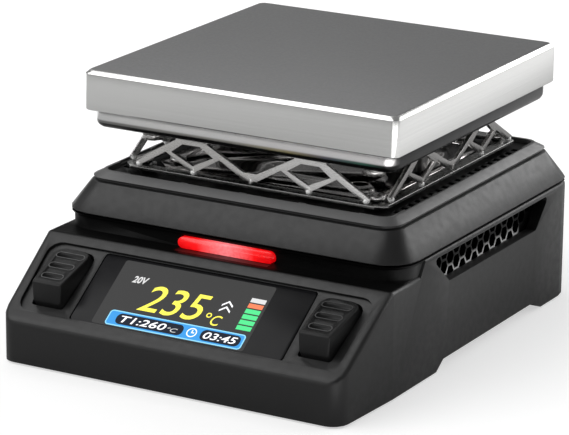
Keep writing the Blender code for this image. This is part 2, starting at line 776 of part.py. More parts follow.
def cut_panel(body):
    """Shallow recess of the panel, with the openings for the glass and the two keys."""
    recess = [(-RECESS_LOW_HALF, RECESS_LOW), (RECESS_LOW_HALF, RECESS_LOW),
              (RECESS_HIGH_HALF, RECESS_HIGH), (-RECESS_HIGH_HALF, RECESS_HIGH)]
    cut(body, prism(rounded(recess, RECESS_CORNER), -RECESS_DEPTH, WALL, on_panel))
    half = GLASS_HALF + FINE_GAP
    window = rectangle(-half, GLASS_LOW - FINE_GAP, half, GLASS_HIGH + FINE_GAP)
    cut(body, prism(rounded(window, GLASS_CORNER, FINE_STEPS), -2 * WALL, WALL, on_panel),
        prism(key_outline(-1, SEAT_GAP), -2 * WALL, WALL, on_panel),
        prism(key_outline(1, SEAT_GAP), -2 * WALL, WALL, on_panel))


def base_housing(material):
    body = fuse(base_body(), collar())
    cut(body, base_cavity())
    opening = square(BASE_HALF - COLLAR_WALL, REAR_CORNER - COLLAR_WALL)
    cut(body, prism(opening, LEDGE_Z - 2 * WALL, WALL_TOP + WALL))
    cut_foot_line(body)
    cut(body, prism(vent_outline(0.0), -BASE_LENGTH, BASE_LENGTH, side_view))
    cut_panel(body)
    bar_half = BAR_HALF + FINE_GAP
    bar = pill(-bar_half, BAR_LOW_Z - FINE_GAP, bar_half, BAR_HIGH_Z + FINE_GAP)
    collar_y = PLATE_Y - BASE_HALF
    cut(body, prism(bar, collar_y - WALL, collar_y + 2 * WALL, front_view))
    usb_z = PART_LOW_Z + USB_HEIGHT / 2
    usb_half = USB_WIDTH / 2 + FINE_GAP
    usb_rise = USB_HEIGHT / 2 + FINE_GAP
    usb = pill(USB_X - usb_half, usb_z - usb_rise, USB_X + usb_half, usb_z + usb_rise)
    dc_z = PART_LOW_Z + DC_BLOCK[1] / 2
    dc = circle(DC_X, dc_z, DC_RADIUS + FINE_GAP, ROUND_SIDES)
    cut(body, prism(usb, REAR_Y - 2 * WALL, REAR_Y + WALL, front_view),
        prism(dc, REAR_Y - 2 * WALL, REAR_Y + WALL, front_view))
    finish(body, "base_housing", material)


def side_grille(side, name, material):
    """Honeycomb sheet behind a side vent."""
    outer = side * (BASE_HALF - WALL - SEAT_GAP)
    inner = outer - side * GRILLE_THICK
    plate = vent_outline(GRILLE_MARGIN, GRILLE_LOW_MARGIN)
    sheet = prism(plate, inner, outer, side_view)
    hole = CELL_SIDE - CELL_BAR / sqrt(3)
    column_pitch = 1.5 * CELL_SIDE
    row_pitch = sqrt(3) * CELL_SIDE
    middle = (VENT_TOP_START + VENT_TOP_END) / 2
    half_length = (VENT_TOP_END - VENT_TOP_START) / 2
    columns = int(half_length / column_pitch)
    slant = VENT_FRONT_SLANT / VENT_HEIGHT
    cells = []
    for column in range(-columns, columns + 1):
        odd = column % 2
        for row in range(CELL_ROWS):
            z = VENT_TOP_Z - row_pitch * (row + (0.0 if odd else 0.5))
            y = middle + column * column_pitch
            reach = half_length - slant * (VENT_TOP_Z - z) + GRILLE_MARGIN
            low_enough = z - row_pitch / 2 > VENT_LOW_Z - GRILLE_LOW_MARGIN
            if abs(y - middle) < reach - 2 * hole and low_enough:
                turns = [corner * pi / 3 for corner in range(6)]
                corners = [(y + hole * cos(turn), z + hole * sin(turn)) for turn in turns]
                cells.append(prism(corners, inner - side * WALL, outer + side * WALL, side_view))
    cut(sheet, *cells)
    finish(sheet, name, material)


# Upper housing and deck

def cover_shell():
    """Upper housing's wall as one profile swept round a square with round corners."""
    groove_in = COVER_GROOVE_INSET + COVER_GROOVE_DEPTH
    groove_top = COVER_GROOVE_Z + COVER_GROOVE_HEIGHT
    ledge_in = COVER_RIM_IN + COVER_LEDGE_WIDTH
    ledge_low = COVER_LEDGE_Z - COVER_LEDGE_THICK
    tongue_out = COLLAR_WALL + FINE_GAP
    tongue_in = tongue_out + COVER_WALL
    tongue_low = COVER_LOW_Z - TONGUE_HEIGHT
    profile = [(tongue_out, tongue_low), (tongue_out, COVER_LOW_Z), (COVER_EDGE, COVER_LOW_Z),
               (0.0, COVER_LOW_Z + COVER_EDGE), (COVER_GROOVE_INSET, COVER_GROOVE_Z),
               (groove_in, COVER_GROOVE_Z + COVER_EDGE), (groove_in, groove_top - COVER_EDGE),
               (COVER_GROOVE_INSET + COVER_EDGE, groove_top),
               (COVER_RIM_INSET - COVER_EDGE, COVER_RIM_Z - COVER_EDGE),
               (COVER_RIM_INSET, COVER_RIM_Z), (COVER_RIM_IN, COVER_RIM_Z),
               (COVER_RIM_IN, COVER_LEDGE_Z), (ledge_in, COVER_LEDGE_Z), (ledge_in, ledge_low),
               (COVER_RIM_IN - COVER_WALL / 2, ledge_low), (tongue_in, COVER_LOW_Z + COVER_WALL),
               (tongue_in, tongue_low)]
    rings = []
    for inset, z in profile:
        corner = max(REAR_CORNER - inset * COVER_CORNER_SHARE, EDGE_RADIUS)
        rings.append([(x, y, z) for x, y in square(BASE_HALF - inset, corner)])
    return loft(rings, closed=True)


def top_cover(material):
    """Upper housing with its four screw posts and the shallow notches in its rim."""
    cover = cover_shell()
    post_low = BOTTOM_TOP_Z + SEAT_GAP
    post_top = COVER_LEDGE_Z - COVER_LEDGE_THICK / 2
    posts = four_spots(POST_SPREAD)
    fuse(cover, *[rod(x, y, POST_RADIUS, post_low, post_top) for x, y in posts])
    bore = CASE_SCREW[0] + SEAT_GAP
    bore_top = post_low + CASE_SCREW_LENGTH
    cut(cover, *[rod(x, y, bore, post_low - WALL, bore_top) for x, y in posts])
    rim_half = BASE_HALF - COVER_RIM_IN
    low = rim_half - COVER_RIM_WIDTH
    high = rim_half + COVER_RIM_WIDTH / 2
    pitch = 2 * (rim_half - RIM_NOTCH_END) / RIM_NOTCHES
    half_length = (pitch - RIM_NOTCH_BAR) / 2
    floor_z = COVER_RIM_Z - RIM_NOTCH_DEPTH
    notches = []
    for side in SIDES:
        for index in range(RIM_NOTCHES):
            t = (index - (RIM_NOTCHES - 1) / 2) * pitch
            outline = rectangle(t - half_length, low, t + half_length, high)
            notches.append(prism(outline, floor_z, COVER_RIM_Z + WALL, around_plate(side)))
    cut(cover, *notches)
    finish(cover, "top_cover", material)


def deck_grille(material):
    """Plate that closes the upper housing, with a row of slots along each side."""
    low = DECK_LOW_Z - WALL
    high = DECK_TOP_Z + WALL
    deck = prism(square(DECK_HALF, DECK_CORNER, FINE_STEPS), DECK_LOW_Z, DECK_TOP_Z)
    pitch = 2 * (DECK_HALF - SLOT_END) / (SLOT_COUNT - 1)
    near = DECK_HALF - SEAT_GAP - SLOT_LENGTH
    slots = []
    for side in SIDES:
        for index in range(SLOT_COUNT):
            t = (index - (SLOT_COUNT - 1) / 2) * pitch
            outline = rectangle(t - SLOT_WIDTH / 2, near, t + SLOT_WIDTH / 2, near + SLOT_LENGTH)
            slots.append(prism(outline, low, high, around_plate(side)))
    cut(deck, *slots)
    screws = four_spots(RING_LUG_SPREAD) + four_spots(SHIELD_SCREW_SPREAD)
    holes = [rod(x, y, FRAME_SCREW[0] + SEAT_GAP, low, high) for x, y in screws]
    cut(deck, *holes, *tube_holes(low, high))
    finish(deck, "deck_grille", material)


def tube_holes(low, high):
    """Cutters for the two tubes' lower ends."""
    radius = TUBE_SPIGOT + SEAT_GAP
    return [rod(side * TUBE_SPREAD, PLATE_Y, radius, low, high, ROUND_SIDES) for side in (-1, 1)]


# Truss frame and what stands on the deck

def truss_frame(material):
    """Four lattice sides, bent inwards at the top to a flange that the plate is screwed to."""
    flange_low = TRUSS_TOP_Z - FLANGE_THICK
    frame = prism(square(FLANGE_OUT, EDGE_RADIUS, FINE_STEPS), flange_low, TRUSS_TOP_Z)
    plus = rounded([(-LUG_IN, -FLANGE_IN), (LUG_IN, -FLANGE_IN), (LUG_IN, -LUG_IN), (FLANGE_IN, -LUG_IN),
                    (FLANGE_IN, LUG_IN), (LUG_IN, LUG_IN), (LUG_IN, FLANGE_IN), (-LUG_IN, FLANGE_IN),
                    (-LUG_IN, LUG_IN), (-FLANGE_IN, LUG_IN), (-FLANGE_IN, -LUG_IN), (-LUG_IN, -LUG_IN)],
                   EDGE_RADIUS / 2, FINE_STEPS)
    cut(frame, prism([(x, PLATE_Y + y) for x, y in plus], flange_low - WALL, TRUSS_TOP_Z + WALL))
    inner = TRUSS_HALF - TRUSS_SHEET
    panels = [prism(truss_outline(), inner, TRUSS_HALF, on_side(side)) for side in SIDES]
    panels = cut(group(panels), *[prism(truss_hole(way), inner - WALL, TRUSS_HALF + WALL, on_side(side))
                                  for side in SIDES for way in (-1, 1)])
    tabs = []
    stretch = TRUSS_HALF / LATTICE_HALF
    for side in SIDES:
        for way in (-1, 1):
            near = FLAT_IN * stretch + FINE_GAP
            far = FLAT_OUT * stretch - FINE_GAP
            ends = sorted((way * near, way * far))
            outline = rectangle(ends[0], FLANGE_OUT - TRUSS_SHEET, ends[1], TRUSS_HALF - FINE_GAP)
            tabs.append(prism(outline, flange_low, TRUSS_TOP_Z, around_plate(side)))
    fuse(frame, *tabs)
    fuse(frame, panels)
    fuse(frame, *truss_pins())
    cut(frame, *[rod(x, y, PLATE_SCREW[0] + SEAT_GAP, flange_low - WALL, TRUSS_TOP_Z + WALL)
                 for x, y in four_spots(PLATE_SCREW_SPREAD)])
    finish(frame, "truss_frame", material, 25.0)


def truss_pins():
    """Short pins under the low points of the lattice, which stand on the ring."""
    pins = []
    middle = TRUSS_HALF - TRUSS_SHEET / 2
    for side in SIDES:
        for t, top in on_lattice(PIN_SPOTS):
            for way in ((-1, 1) if t else (1,)):
                x, y, z = on_side(side)(way * t, RING_TOP_Z + PIN_GAP, middle)
                pins.append(rod(x, y, PIN_RADIUS, z, top, PIN_SIDES))
    return pins


def frame_ring(material):
    """Thin ring under the truss, held above the deck by a round lug in each corner."""
    spots = four_spots(RING_LUG_SPREAD)
    ring = prism(cut_square(TRUSS_HALF, RING_CHAMFER), RING_LOW_Z, RING_TOP_Z)
    opening = cut_square(TRUSS_HALF - RING_WIDTH, RING_CHAMFER)
    cut(ring, prism(opening, RING_LOW_Z - WALL, RING_TOP_Z + WALL))
    fuse(ring, *[rod(x, y, RING_LUG_RADIUS, SHIELD_LOW_Z, RING_TOP_Z, ROUND_SIDES) for x, y in spots])
    bore = FRAME_SCREW[0] + SEAT_GAP
    cut(ring, *[rod(x, y, bore, SHIELD_LOW_Z - WALL, RING_TOP_Z + WALL) for x, y in spots])
    finish(ring, "frame_ring", material)


def heat_shield(material):
    low = SHIELD_LOW_Z - WALL
    high = SHIELD_TOP_Z + WALL
    shield = prism(cut_square(SHIELD_HALF, SHIELD_CHAMFER), SHIELD_LOW_Z, SHIELD_TOP_Z)
    bore = SHIELD_SCREW[0] + SEAT_GAP
    holes = tube_holes(low, high)
    holes += [rod(x, y, bore, low, high) for x, y in four_spots(SHIELD_SCREW_SPREAD)]
    x = TRUSS_HALF - SHIELD_HOLE_SIDE_IN
    y = PLATE_Y - TRUSS_HALF + SHIELD_HOLE_FRONT_IN
    holes += [rod(side * x, y, SHIELD_HOLE_RADIUS, low, high, ROUND_SIDES) for side in (-1, 1)]
    finish(cut(shield, *holes), "heat_shield", material)


def lead_tubes(material):
    """Two polished tubes between deck and pan, which the leads run up through."""
    low = SHIELD_TOP_Z + SEAT_GAP
    spigot_low = low - TUBE_SPIGOT_LENGTH
    high = PAN_LOW_Z - SEAT_GAP
    profile = [(TUBE_BORE, spigot_low), (TUBE_SPIGOT, spigot_low), (TUBE_SPIGOT, low), (TUBE_RADIUS, low),
               (TUBE_RADIUS, high), (TUBE_BORE, high)]
    for side, name in ((-1, "lead_tube_left"), (1, "lead_tube_right")):
        tube = turned(profile, side * TUBE_SPREAD, PLATE_Y, ROUND_SIDES, closed=True)
        finish(tube, name, material)


def deck_screws(steel):
    seat = RING_TOP_Z + SEAT_GAP
    length = DECK_SCREW_LENGTH + RING_RISE
    frame = [screw(x, y, seat, FRAME_SCREW, length) for x, y in four_spots(RING_LUG_SPREAD)]
    finish_each(frame, "frame_screw", steel)
    seat = SHIELD_TOP_Z + SEAT_GAP
    spots = four_spots(SHIELD_SCREW_SPREAD)
    shield = [screw(x, y, seat, SHIELD_SCREW, DECK_SCREW_LENGTH) for x, y in spots]
    finish_each(shield, "shield_screw", steel)


# Heating stack

def heating_plate(material):
    half = PLATE_SIZE / 2
    levels = ((PLATE_LOW_CHAMFER, PLATE_LOW_Z), (0.0, PLATE_LOW_Z + PLATE_LOW_CHAMFER),
              (0.0, PLATE_TOP_Z - PLATE_CHAMFER), (PLATE_CHAMFER, PLATE_TOP_Z))
    rings = [[(x, y, z) for x, y in square(half - inset, PLATE_CORNER)] for inset, z in levels]
    plate = loft(rings)
    screw_top = PLATE_LOW_Z + PLATE_SCREW_REACH + SEAT_GAP
    bore = PLATE_SCREW[0] + SEAT_GAP
    spots = four_spots(PLATE_SCREW_SPREAD)
    bores = [rod(x, y, bore, PLATE_LOW_Z - WALL, screw_top) for x, y in spots]
    sensor_top = PLATE_LOW_Z + SENSOR_DEPTH + SEAT_GAP
    bores.append(rod(TUBE_SPREAD, PLATE_Y, SENSOR_RADIUS + SEAT_GAP, PLATE_LOW_Z - WALL, sensor_top))
    finish(cut(plate, *bores), "heating_plate", material)


def plate_screws(material):
    seat = TRUSS_TOP_Z - FLANGE_THICK - SEAT_GAP
    length = PLATE_LOW_Z + PLATE_SCREW_REACH - seat
    spots = four_spots(PLATE_SCREW_SPREAD)
    screws = [screw(x, y, seat, PLATE_SCREW, length, head_up=False) for x, y in spots]
    finish_each(screws, "plate_screw", material)


def stack_holes(radius, low, high):
    """Cutters for the four plate screws and the two lead holes."""
    bore = PLATE_SCREW[0] + SEAT_GAP
    holes = [rod(x, y, bore, low, high) for x, y in four_spots(PLATE_SCREW_SPREAD)]
    return holes + [rod(side * TUBE_SPREAD, PLATE_Y, radius, low, high, ROUND_SIDES) for side in (-1, 1)]


def heater_pan(material):
    """Shallow sheet pan with a round lower edge, open at the top."""
    arc = [step * pi / 2 / CORNER_STEPS for step in range(CORNER_STEPS + 1)]
    outside = [(PAN_EDGE * (1 - sin(a)), PAN_LOW_Z + PAN_EDGE * (1 - cos(a))) for a in arc]
    levels = outside + [(0.0, PAN_TOP_Z), (PAN_WALL, PAN_TOP_Z), (PAN_WALL, PAN_LOW_Z + PAN_EDGE),
                        (PAN_EDGE, PAN_LOW_Z + PAN_WALL)]
    rings = [[(x, y, z) for x, y in square(PAN_HALF - inset, PAN_CORNER - inset)] for inset, z in levels]
    pan = loft(rings)
    cut(pan, *stack_holes(LEAD_HOLE, PAN_LOW_Z - WALL, PAN_TOP_Z))
    finish(pan, "heater_pan", material)


def heating_stack(sheet_material, ceramic, metal):
    low = SHEET_LOW_Z
    sheet_corner = PAN_CORNER - PAN_WALL - SEAT_GAP
    sheet = prism(square(PAN_HALF - SHEET_SIDE_IN, sheet_corner), low, low + SHEET_THICK)
    cut(sheet, *stack_holes(LEAD_HOLE, low - WALL, low + WALL))
    finish(sheet, "insulation_sheet", sheet_material)
    heater_half = PLATE_SCREW_SPREAD - HEATER_SCREW_GAP
    heater = prism(square(heater_half, PLATE_CORNER, FINE_STEPS), HEATER_LOW_Z, PAN_TOP_Z)
    cut(heater, rod(TUBE_SPREAD, PLATE_Y, SENSOR_RADIUS + SEAT_GAP, HEATER_LOW_Z - WALL, PLATE_LOW_Z))
    finish(heater, "heater_element", ceramic)
    sensor_low = HEATER_LOW_Z - SENSOR_LOW
    sensor = rod(TUBE_SPREAD, PLATE_Y, SENSOR_RADIUS, sensor_low, PLATE_LOW_Z + SENSOR_DEPTH)
    finish(sensor, "temperature_sensor", metal)


def twin_lead(x, radius, low, high):
    """Two sleeved wires side by side, moulded into one flat lead."""
    spread = radius * TWIN_SHARE
    left, right = [rod(x + way * spread, PLATE_Y, radius, low, high, PIN_SIDES) for way in (-1, 1)]
    return fuse(left, right)


def leads(material):
    """Straight inner leads from the board's connectors up through the tubes."""
    heater = twin_lead(-TUBE_SPREAD, HEATER_LEAD_RADIUS, PART_LOW_Z + HEATER_PLUG[2] + SEAT_GAP,
                       HEATER_LOW_Z - SEAT_GAP)
    finish(heater, "heater_lead", material)
    sensor = twin_lead(TUBE_SPREAD, SENSOR_LEAD_RADIUS, PART_LOW_Z + SENSOR_PLUG[2] + SEAT_GAP,
                       HEATER_LOW_Z - SENSOR_LOW - SEAT_GAP)
    finish(sensor, "sensor_lead", material)


# Control panel

def display(glass, dark, board):
    window = rounded(rectangle(-GLASS_HALF, GLASS_LOW, GLASS_HALF, GLASS_HIGH), GLASS_CORNER, FINE_STEPS)
    finish(prism(window, GLASS_LOW_N, -RECESS_DEPTH, on_panel), "display_window", glass)
    module_half = GLASS_HALF - MODULE_SIDE_IN
    plan = rectangle(-module_half, GLASS_LOW + MODULE_MARGIN, module_half, GLASS_HIGH - FINE_GAP)
    module = prism(plan, MODULE_TOP_N - MODULE_THICK, MODULE_TOP_N, on_panel)
    finish(module, "display_module", dark)
    low = RECESS_LOW + CONTROL_BOARD_LOW_IN
    plan = rectangle(-CONTROL_BOARD_HALF, low, CONTROL_BOARD_HALF, CONTROL_BOARD_HIGH)
    carrier = prism(plan, CONTROL_TOP_N - CONTROL_BOARD_THICK, CONTROL_TOP_N, on_panel)
    finish(carrier, "control_board", board)


def key_body(side):
    """Wedge key: straight sides along its travel, a sloping top and an upright front."""
    body = prism(key_outline(side, 0.0), KEY_LIP_TOP_N - KEY_LIP_THICK / 2, PANEL_RUN / 2, on_panel)
    tilt = radians(KEY_TOP_TILT)
    slice_off(body, on_key_top(0.0, 0.0, 0.0), (0.0, -sin(tilt), cos(tilt)))
    slice_off(body, on_panel(0.0, KEY_FRONT, 0.0), (0.0, -1.0, 0.0))
    return body


def soften(obj, width):
    """Bevel the edges that are sharper than 30 degrees."""
    mesh = bmesh.new()
    mesh.from_mesh(obj.data)
    edges = [edge for edge in mesh.edges if edge.is_manifold and edge.calc_face_angle() > radians(30.0)]
    bmesh.ops.bevel(mesh, geom=edges, offset=width * MM, segments=KEY_EDGE_STEPS, profile=0.5,
                    affect="EDGES", clamp_overlap=True)
    mesh.to_mesh(obj.data)
    mesh.free()
    return obj


def key(side, name, material):
    body = soften(key_body(side), KEY_EDGE)
    lip = prism(key_outline(side, KEY_LIP), KEY_LOW_N, KEY_LIP_TOP_N, on_panel)
    fuse(body, lip)
    centre = side * KEY_MIDDLE
    grooves = []
    for index in range(GROOVE_COUNT):
        u = GROOVE_FIRST + index * GROOVE_PITCH
        half = (GROOVE_SHORT + index * GROOVE_GROWTH) / 2
        outline = pill(centre - half, u - GROOVE_WIDTH / 2, centre + half, u + GROOVE_WIDTH / 2)
        grooves.append(prism(outline, -GROOVE_DEPTH, WALL, on_key_top))
    cut(body, *grooves)
    finish(body, name, material)


def tact_switch(side, switch_material, plunger_material):
    centre = side * KEY_MIDDLE
    middle = (KEY_FRONT + KEY_REAR) / 2
    half = SWITCH_SIZE / 2
    name = "left" if side < 0 else "right"
    plan = rectangle(centre - half, middle - half, centre + half, middle + half)
    body = prism(plan, SWITCH_LOW_N, SWITCH_TOP_N, on_panel)
    bore = circle(centre, middle, PLUNGER_RADIUS + SEAT_GAP)
    cut(body, prism(bore, SWITCH_LOW_N - WALL, SWITCH_TOP_N + WALL, on_panel))
    finish(body, "tact_switch_" + name, switch_material)
    top = KEY_LOW_N - SEAT_GAP
    stem = prism(circle(centre, middle, PLUNGER_RADIUS), top - PLUNGER_LENGTH, top, on_panel)
    finish(stem, "tact_plunger_" + name, plunger_material)


def light_bar(lens_material, board_material):
    collar_y = PLATE_Y - BASE_HALF
    wall_in = collar_y + WALL
    lens_rear = wall_in + SEAT_GAP
    lens = prism(pill(-BAR_HALF, BAR_LOW_Z, BAR_HALF, BAR_HIGH_Z), collar_y, lens_rear, front_view)
    finish(lens, "light_bar_lens", lens_material)
    board_front = lens_rear + SEAT_GAP
    board_rear = board_front + BAR_BOARD_THICK
    high = COVER_LOW_Z - TONGUE_HEIGHT - SEAT_GAP
    low = high - BAR_BOARD_HEIGHT
    board = block(-BAR_BOARD_HALF, board_front, low, BAR_BOARD_HALF, board_rear, high)
    finish(board, "light_bar_board", board_material)


# Bottom, main board and sockets

def bottom_cover(material):
    plate = prism(base_outline(WALL + SEAT_GAP), BOTTOM_LOW_Z, BOTTOM_TOP_Z)
    seat = BOARD_LOW_Z - SEAT_GAP
    profile = [(STANDOFF_RADIUS, BOTTOM_TOP_Z - WALL / 4), (STANDOFF_RADIUS, seat), (STANDOFF_PIN, seat),
               (STANDOFF_PIN, BOARD_TOP_Z + SEAT_GAP)]
    fuse(plate, *[turned(profile, x, y) for x, y in board_spots()])
    bore = CASE_SCREW[0] + SEAT_GAP
    sink = CASE_SCREW[1] + SEAT_GAP
    sink_top = BOTTOM_LOW_Z + CASE_SCREW[2] + SEAT_GAP
    posts = four_spots(POST_SPREAD)
    cut(plate, *[rod(x, y, bore, 0.0, BOTTOM_TOP_Z + WALL) for x, y in posts])
    cut(plate, *[rod(x, y, sink, 0.0, sink_top) for x, y in posts])
    slots = []
    for index in range(BOTTOM_SLOTS):
        x = (index - (BOTTOM_SLOTS - 1) / 2) * BOTTOM_SLOT_PITCH
        outline = pill(x - BOTTOM_SLOT_WIDTH / 2, PLATE_Y - BOTTOM_SLOT_LENGTH / 2,
                       x + BOTTOM_SLOT_WIDTH / 2, PLATE_Y + BOTTOM_SLOT_LENGTH / 2)
        slots.append(prism(outline, 0.0, BOTTOM_TOP_Z + WALL))
    cut(plate, *slots)
    finish(plate, "bottom_cover", material)


def board_spots():
    front = BOARD_FRONT_Y + STANDOFF_FRONT_IN
    rear = BOARD_REAR_Y - STANDOFF_REAR_IN
    x = BOARD_HALF - STANDOFF_SIDE_IN
    return [(side * x, y) for side in (-1, 1) for y in (front, rear)]


def bottom_fasteners(steel, rubber):
    screws = []
    for x, y in four_spots(POST_SPREAD):
        seat = BOTTOM_LOW_Z + CASE_SCREW[2]
        screws.append(screw(x, y, seat, CASE_SCREW, CASE_SCREW_LENGTH, head_up=False))
    finish_each(screws, "case_screw", steel)
    feet = []
    for side in (-1, 1):
        for y in (FRONT_Y + FOOT_FRONT_IN, REAR_Y - FOOT_REAR_IN):
            profile = [(FOOT_RADIUS - FOOT_EDGE, 0.0), (FOOT_RADIUS, FOOT_EDGE), (FOOT_RADIUS, FOOT_HEIGHT)]
            feet.append(turned(profile, side * (FRONT_HALF - FOOT_SIDE_IN), y, ROUND_SIDES))
    finish_each(feet, "rubber_foot", rubber)


def main_board(board):
    """Main board with the parts soldered to it, located on the standoffs' pins."""
    plan = rectangle(-BOARD_HALF, BOARD_FRONT_Y, BOARD_HALF, BOARD_REAR_Y)
    plate = prism(plan, BOARD_LOW_Z, BOARD_TOP_Z)
    cut(plate, *[rod(x, y, STANDOFF_PIN + SEAT_GAP, BOARD_LOW_Z - WALL, BOARD_TOP_Z + WALL)
                 for x, y in board_spots()])
    low = BOARD_TOP_Z - BOARD_THICK / 2
    chip = on_board(CHIP_SPOT, CHIP, low)
    coil = on_board(COIL_SPOT, COIL, low)
    switches = [on_board(spot, SWITCH, low) for spot in SWITCH_SPOTS]
    cans = []
    for spot in CAN_SPOTS:
        x, y = board_place(spot)
        cans.append(rod(x, y, CAN_RADIUS * BOARD_SCALE, low, PART_LOW_Z + CAN_HEIGHT, ROUND_SIDES))
    fuse(plate, chip, coil, *switches, *cans)
    finish(plate, "main_board", board)


def board_place(spot):
    """Place on the main board, stretched with the board from the size it was drawn for."""
    return (spot[0] * BOARD_SCALE, PLATE_Y + spot[1] * BOARD_SCALE)


def on_board(spot, size, low=PART_LOW_Z):
    """Box on the main board, its middle at the spot."""
    x, y = board_place(spot)
    half_width = size[0] * BOARD_SCALE / 2
    half_depth = size[1] * BOARD_SCALE / 2
    return block(x - half_width, y - half_depth, low, x + half_width, y + half_depth, PART_LOW_Z + size[2])


def board_plugs(plug, black):
    """Connectors under the two tubes, and the buzzer."""
    tube = TUBE_SPREAD / BOARD_SCALE
    finish(on_board((-tube, 0.0), HEATER_PLUG), "heater_connector", plug)
    finish(on_board((tube, 0.0), SENSOR_PLUG), "sensor_connector", plug)
    x, y = board_place(BUZZER_SPOT)
    top = PART_LOW_Z + BUZZER_HEIGHT
    radius = BUZZER_RADIUS * BOARD_SCALE
    profile = [(BUZZER_HOLE, top - BUZZER_HOLE), (BUZZER_HOLE, top), (radius, top), (radius, PART_LOW_Z)]
    finish(turned(profile, x, y, ROUND_SIDES), "buzzer", black)


def sockets(metal, black):
    """Power inlets in the rear wall: a flat one and a round one."""
    face = REAR_Y - FINE_GAP
    z = PART_LOW_Z + USB_HEIGHT / 2
    half = USB_WIDTH / 2
    rise = USB_HEIGHT / 2
    back = face - USB_DEPTH
    shell = prism(pill(USB_X - half, z - rise, USB_X + half, z + rise), back, face, front_view)
    room_half = half - USB_SHELL
    room_rise = rise - USB_SHELL
    room = pill(USB_X - room_half, z - room_rise, USB_X + room_half, z + room_rise)
    cut(shell, prism(room, back + USB_FLOOR, face + WALL, front_view))
    width, thick, length = USB_TONGUE
    tongue = rectangle(USB_X - width / 2, z - thick / 2, USB_X + width / 2, z + thick / 2)
    root = back + USB_FLOOR / 2
    fuse(shell, prism(tongue, root, root + length, front_view))
    finish(shell, "usb_c_socket", metal)
    width, height, depth = DC_BLOCK
    z = PART_LOW_Z + height / 2
    inner = REAR_Y - WALL - SEAT_GAP
    high = PART_LOW_Z + height
    body = block(DC_X - width / 2, inner - depth, PART_LOW_Z, DC_X + width / 2, inner, high)
    fuse(body, prism(circle(DC_X, z, DC_RADIUS, ROUND_SIDES), inner - WALL, face, front_view))
    bore_end = face - DC_BORE_DEPTH
    cut(body, prism(circle(DC_X, z, DC_BORE, ROUND_SIDES), bore_end, face + WALL, front_view))
    fuse(body, prism(circle(DC_X, z, DC_PIN), bore_end - FINE_GAP, face - WALL, front_view))
    finish(body, "dc_socket", black)


def panel_ribbon(material):
    """Flat cable from the control board's rear edge down to the main board."""
    under = CONTROL_TOP_N - CONTROL_BOARD_THICK - SEAT_GAP
    _, y_high, z_high = on_panel(0.0, CONTROL_BOARD_HIGH - WALL, under)
    y_low = BOARD_FRONT_Y + 2 * WALL
    z_low = PART_LOW_Z
    bend_y = y_high + WALL / 2
    upper = [(y_high, z_high), (bend_y, z_low + WALL), (y_low - WALL, z_low), (y_low, z_low)]
    lower = [(y_low, z_low + RIBBON_THICK), (y_low - WALL, z_low + RIBBON_THICK),
             (bend_y + RIBBON_THICK, z_low + WALL + RIBBON_THICK), (y_high + RIBBON_THICK, z_high)]
    finish(prism(upper + lower, -RIBBON_HALF, RIBBON_HALF, side_view), "panel_ribbon", material)


def build():
    for obj in list(bpy.data.objects):
        bpy.data.objects.remove(obj, do_unlink=True)
    black = look("black_housing", (0.012, 0.012, 0.013), 0.42)
    key_black = look("key_plastic", (0.014, 0.014, 0.015), 0.38)
    deck_black = look("deck_black", (0.01, 0.01, 0.01), 0.5)
    plate_metal = look("plate_aluminium", (0.62, 0.62, 0.62), 0.3, 1.0)
    pan_metal = look("pan_steel", (0.35, 0.35, 0.36), 0.25, 1.0)
    stainless = look("truss_stainless", (0.6, 0.59, 0.58), 0.25, 1.0)
    shield_metal = look("shield_steel", (0.45, 0.44, 0.43), 0.12, 1.0)
    tube_metal = look("tube_steel", (0.7, 0.69, 0.68), 0.15, 1.0)
    steel = look("screw_steel", (0.5, 0.5, 0.5), 0.3, 1.0)
    glass = look("display_glass", (0.01, 0.01, 0.012), 0.08)
    lens = look("red_lens", (0.8, 0.02, 0.02), 0.3)
    board = look("circuit_board", (0.01, 0.09, 0.04), 0.5)
    dark = look("component_black", (0.02, 0.02, 0.02), 0.5)
    pale = look("connector_plastic", (0.75, 0.73, 0.68), 0.5)
    ceramic = look("heater_ceramic", (0.8, 0.78, 0.74), 0.6)
    fibre = look("insulation_fibre", (0.7, 0.66, 0.55), 0.9)
    rubber = look("foot_rubber", (0.02, 0.02, 0.02), 0.85)
    wire = look("lead_sleeve", (0.75, 0.75, 0.72), 0.6)
    ribbon = look("ribbon_film", (0.5, 0.25, 0.05), 0.5)
    base_housing(black)
    for side, name in ((-1, "side_grille_left"), (1, "side_grille_right")):
        side_grille(side, name, deck_black)
    top_cover(black)
    deck_grille(deck_black)
    truss_frame(stainless)
    frame_ring(stainless)
    heat_shield(shield_metal)
    lead_tubes(tube_metal)
    deck_screws(steel)
    heating_plate(plate_metal)
    heater_pan(pan_metal)
    heating_stack(fibre, ceramic, steel)
    plate_screws(steel)
    leads(wire)
    display(glass, dark, board)
    for side, name in ((-1, "button_left"), (1, "button_right")):
        key(side, name, key_black)
        tact_switch(side, dark, pale)
    light_bar(lens, board)
    bottom_cover(black)
    bottom_fasteners(steel, rubber)
    main_board(board)
    board_plugs(pale, dark)
    sockets(steel, dark)
    panel_ribbon(ribbon)


build()
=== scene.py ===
"""Looks of a small soldering preheater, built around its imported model.

Lengths named here are millimetres; MM turns them into the metres of the scene. The scales of noise
are per metre.
"""
import json
from math import cos, pi, radians, sin, tan

import bmesh
import bpy
from mathutils import Matrix, Vector

